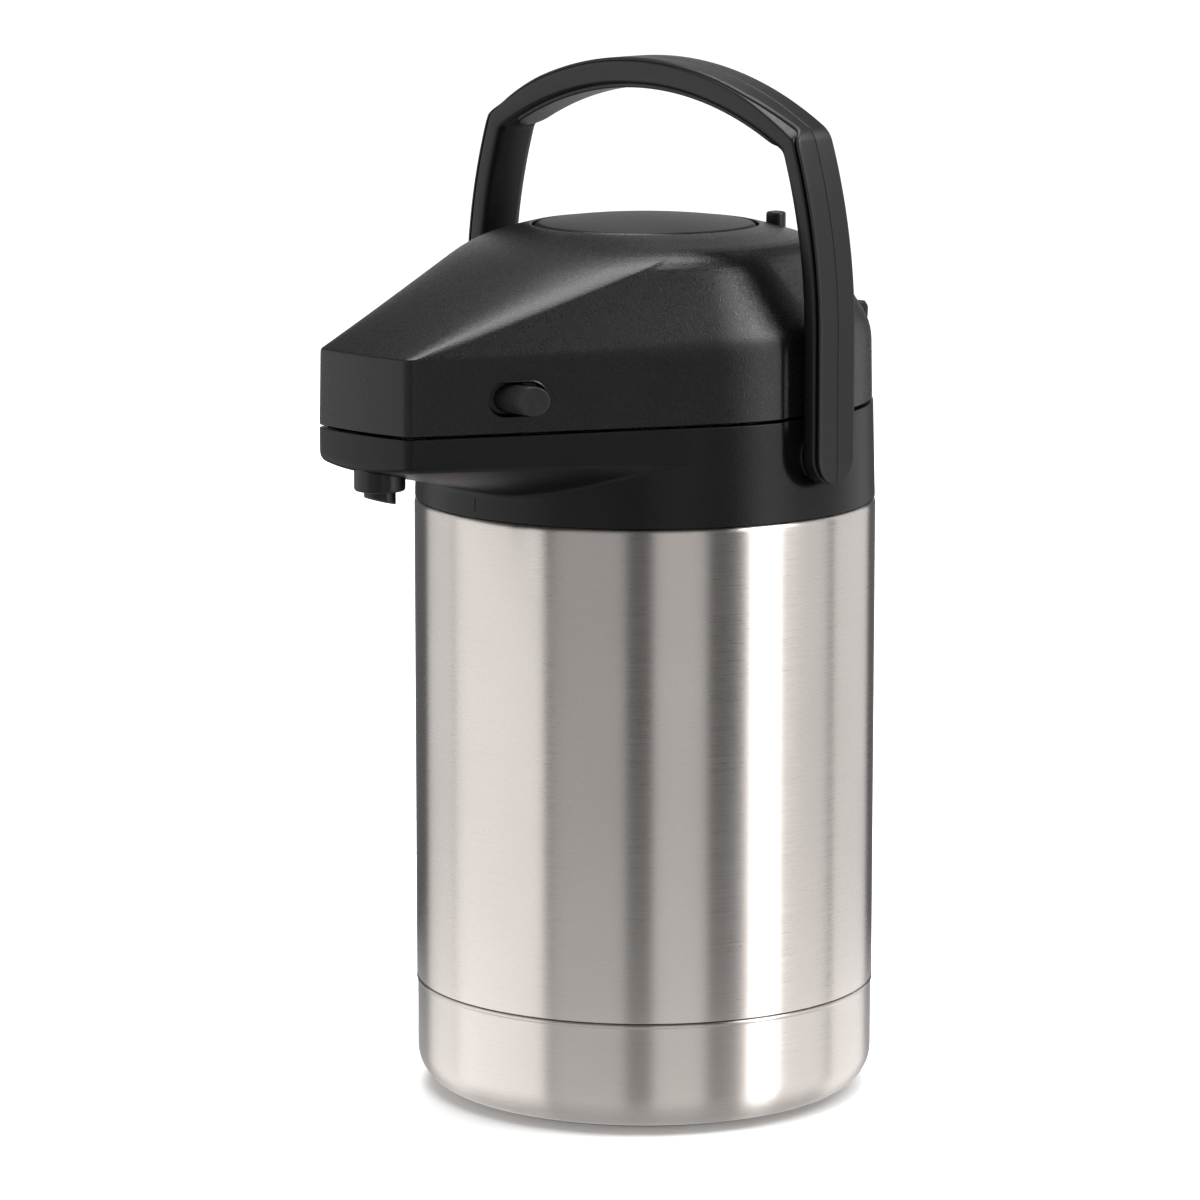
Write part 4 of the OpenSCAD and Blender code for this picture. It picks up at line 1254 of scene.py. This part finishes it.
def softbox(name, start, end, radiance):
    """Upright softbox that faces the pot and fills the bearings from start to end."""
    middle = (start + end) / 2
    location = toward(CAMERA_BEARING + middle) * SOFTBOX_DISTANCE + SOFTBOX_AIM
    data = add_light(name, "AREA", location, SOFTBOX_AIM).data
    data.shape = "RECTANGLE"
    data.size = 2 * SOFTBOX_DISTANCE * math.tan(math.radians(end - start) / 2)
    data.size_y = SOFTBOX_HEIGHT
    data.energy = radiance * math.pi * data.size * data.size_y


def panel(name, bearing, elevation, size, radiance):
    rise = math.radians(elevation)
    direction = toward(CAMERA_BEARING + bearing) * math.cos(rise) + Vector((0, 0, math.sin(rise)))
    data = add_light(name, "AREA", PANEL_AIM + direction * PANEL_DISTANCE, PANEL_AIM).data
    data.size = size
    data.energy = radiance * math.pi * size ** 2


def floor_bounce(size=0.5, radiance=0.5):
    """Soft light that rises from the floor around the foot."""
    data = add_light("floor_bounce", "AREA", Vector((0, 0, 0.001)), Vector((0, 0, 1.0))).data
    data.shape = "DISK"
    data.size = size
    data.energy = radiance * math.pi * math.pi * (size / 2) ** 2


floor_plane()
floor_bounce()
for softbox_name, (start, end, radiance) in SOFTBOXES.items():
    softbox(softbox_name, start, end, radiance)

# soft light from above: a wide one for the whole floor, and nearer panels that the pot's gloss shows
sky_light = add_light("sky_light", "SUN", Vector((0.0, 0.0, 3.0)), Vector((0.0, 0.0, 0.0)))
sky_light.data.energy = SKY_STRENGTH
sky_light.data.angle = SKY_SPREAD
sky_light.visible_glossy = False
for panel_name, (bearing, elevation, size, radiance) in PANELS.items():
    panel(panel_name, bearing, elevation, size, radiance)

world = bpy.data.worlds.new("studio")
world.use_nodes = True
background = world.node_tree.nodes["Background"]
background.inputs["Color"].default_value = (0.97, 0.98, 1.0, 1.0)
background.inputs["Strength"].default_value = WORLD_STRENGTH
bpy.context.scene.world = world
bpy.context.scene.view_settings.view_transform = "Standard"
bpy.context.scene.view_settings.gamma = VIEW_GAMMA

camera_data = bpy.data.cameras.new("camera")
camera_data.sensor_width = 36.0
camera_data.lens = CAMERA_LENS
camera_place = toward(CAMERA_BEARING) * CAMERA_DISTANCE + Vector((0, 0, CAMERA_HEIGHT))
bpy.context.scene.camera = aimed(linked("camera", camera_data), camera_place, CAMERA_AIM)
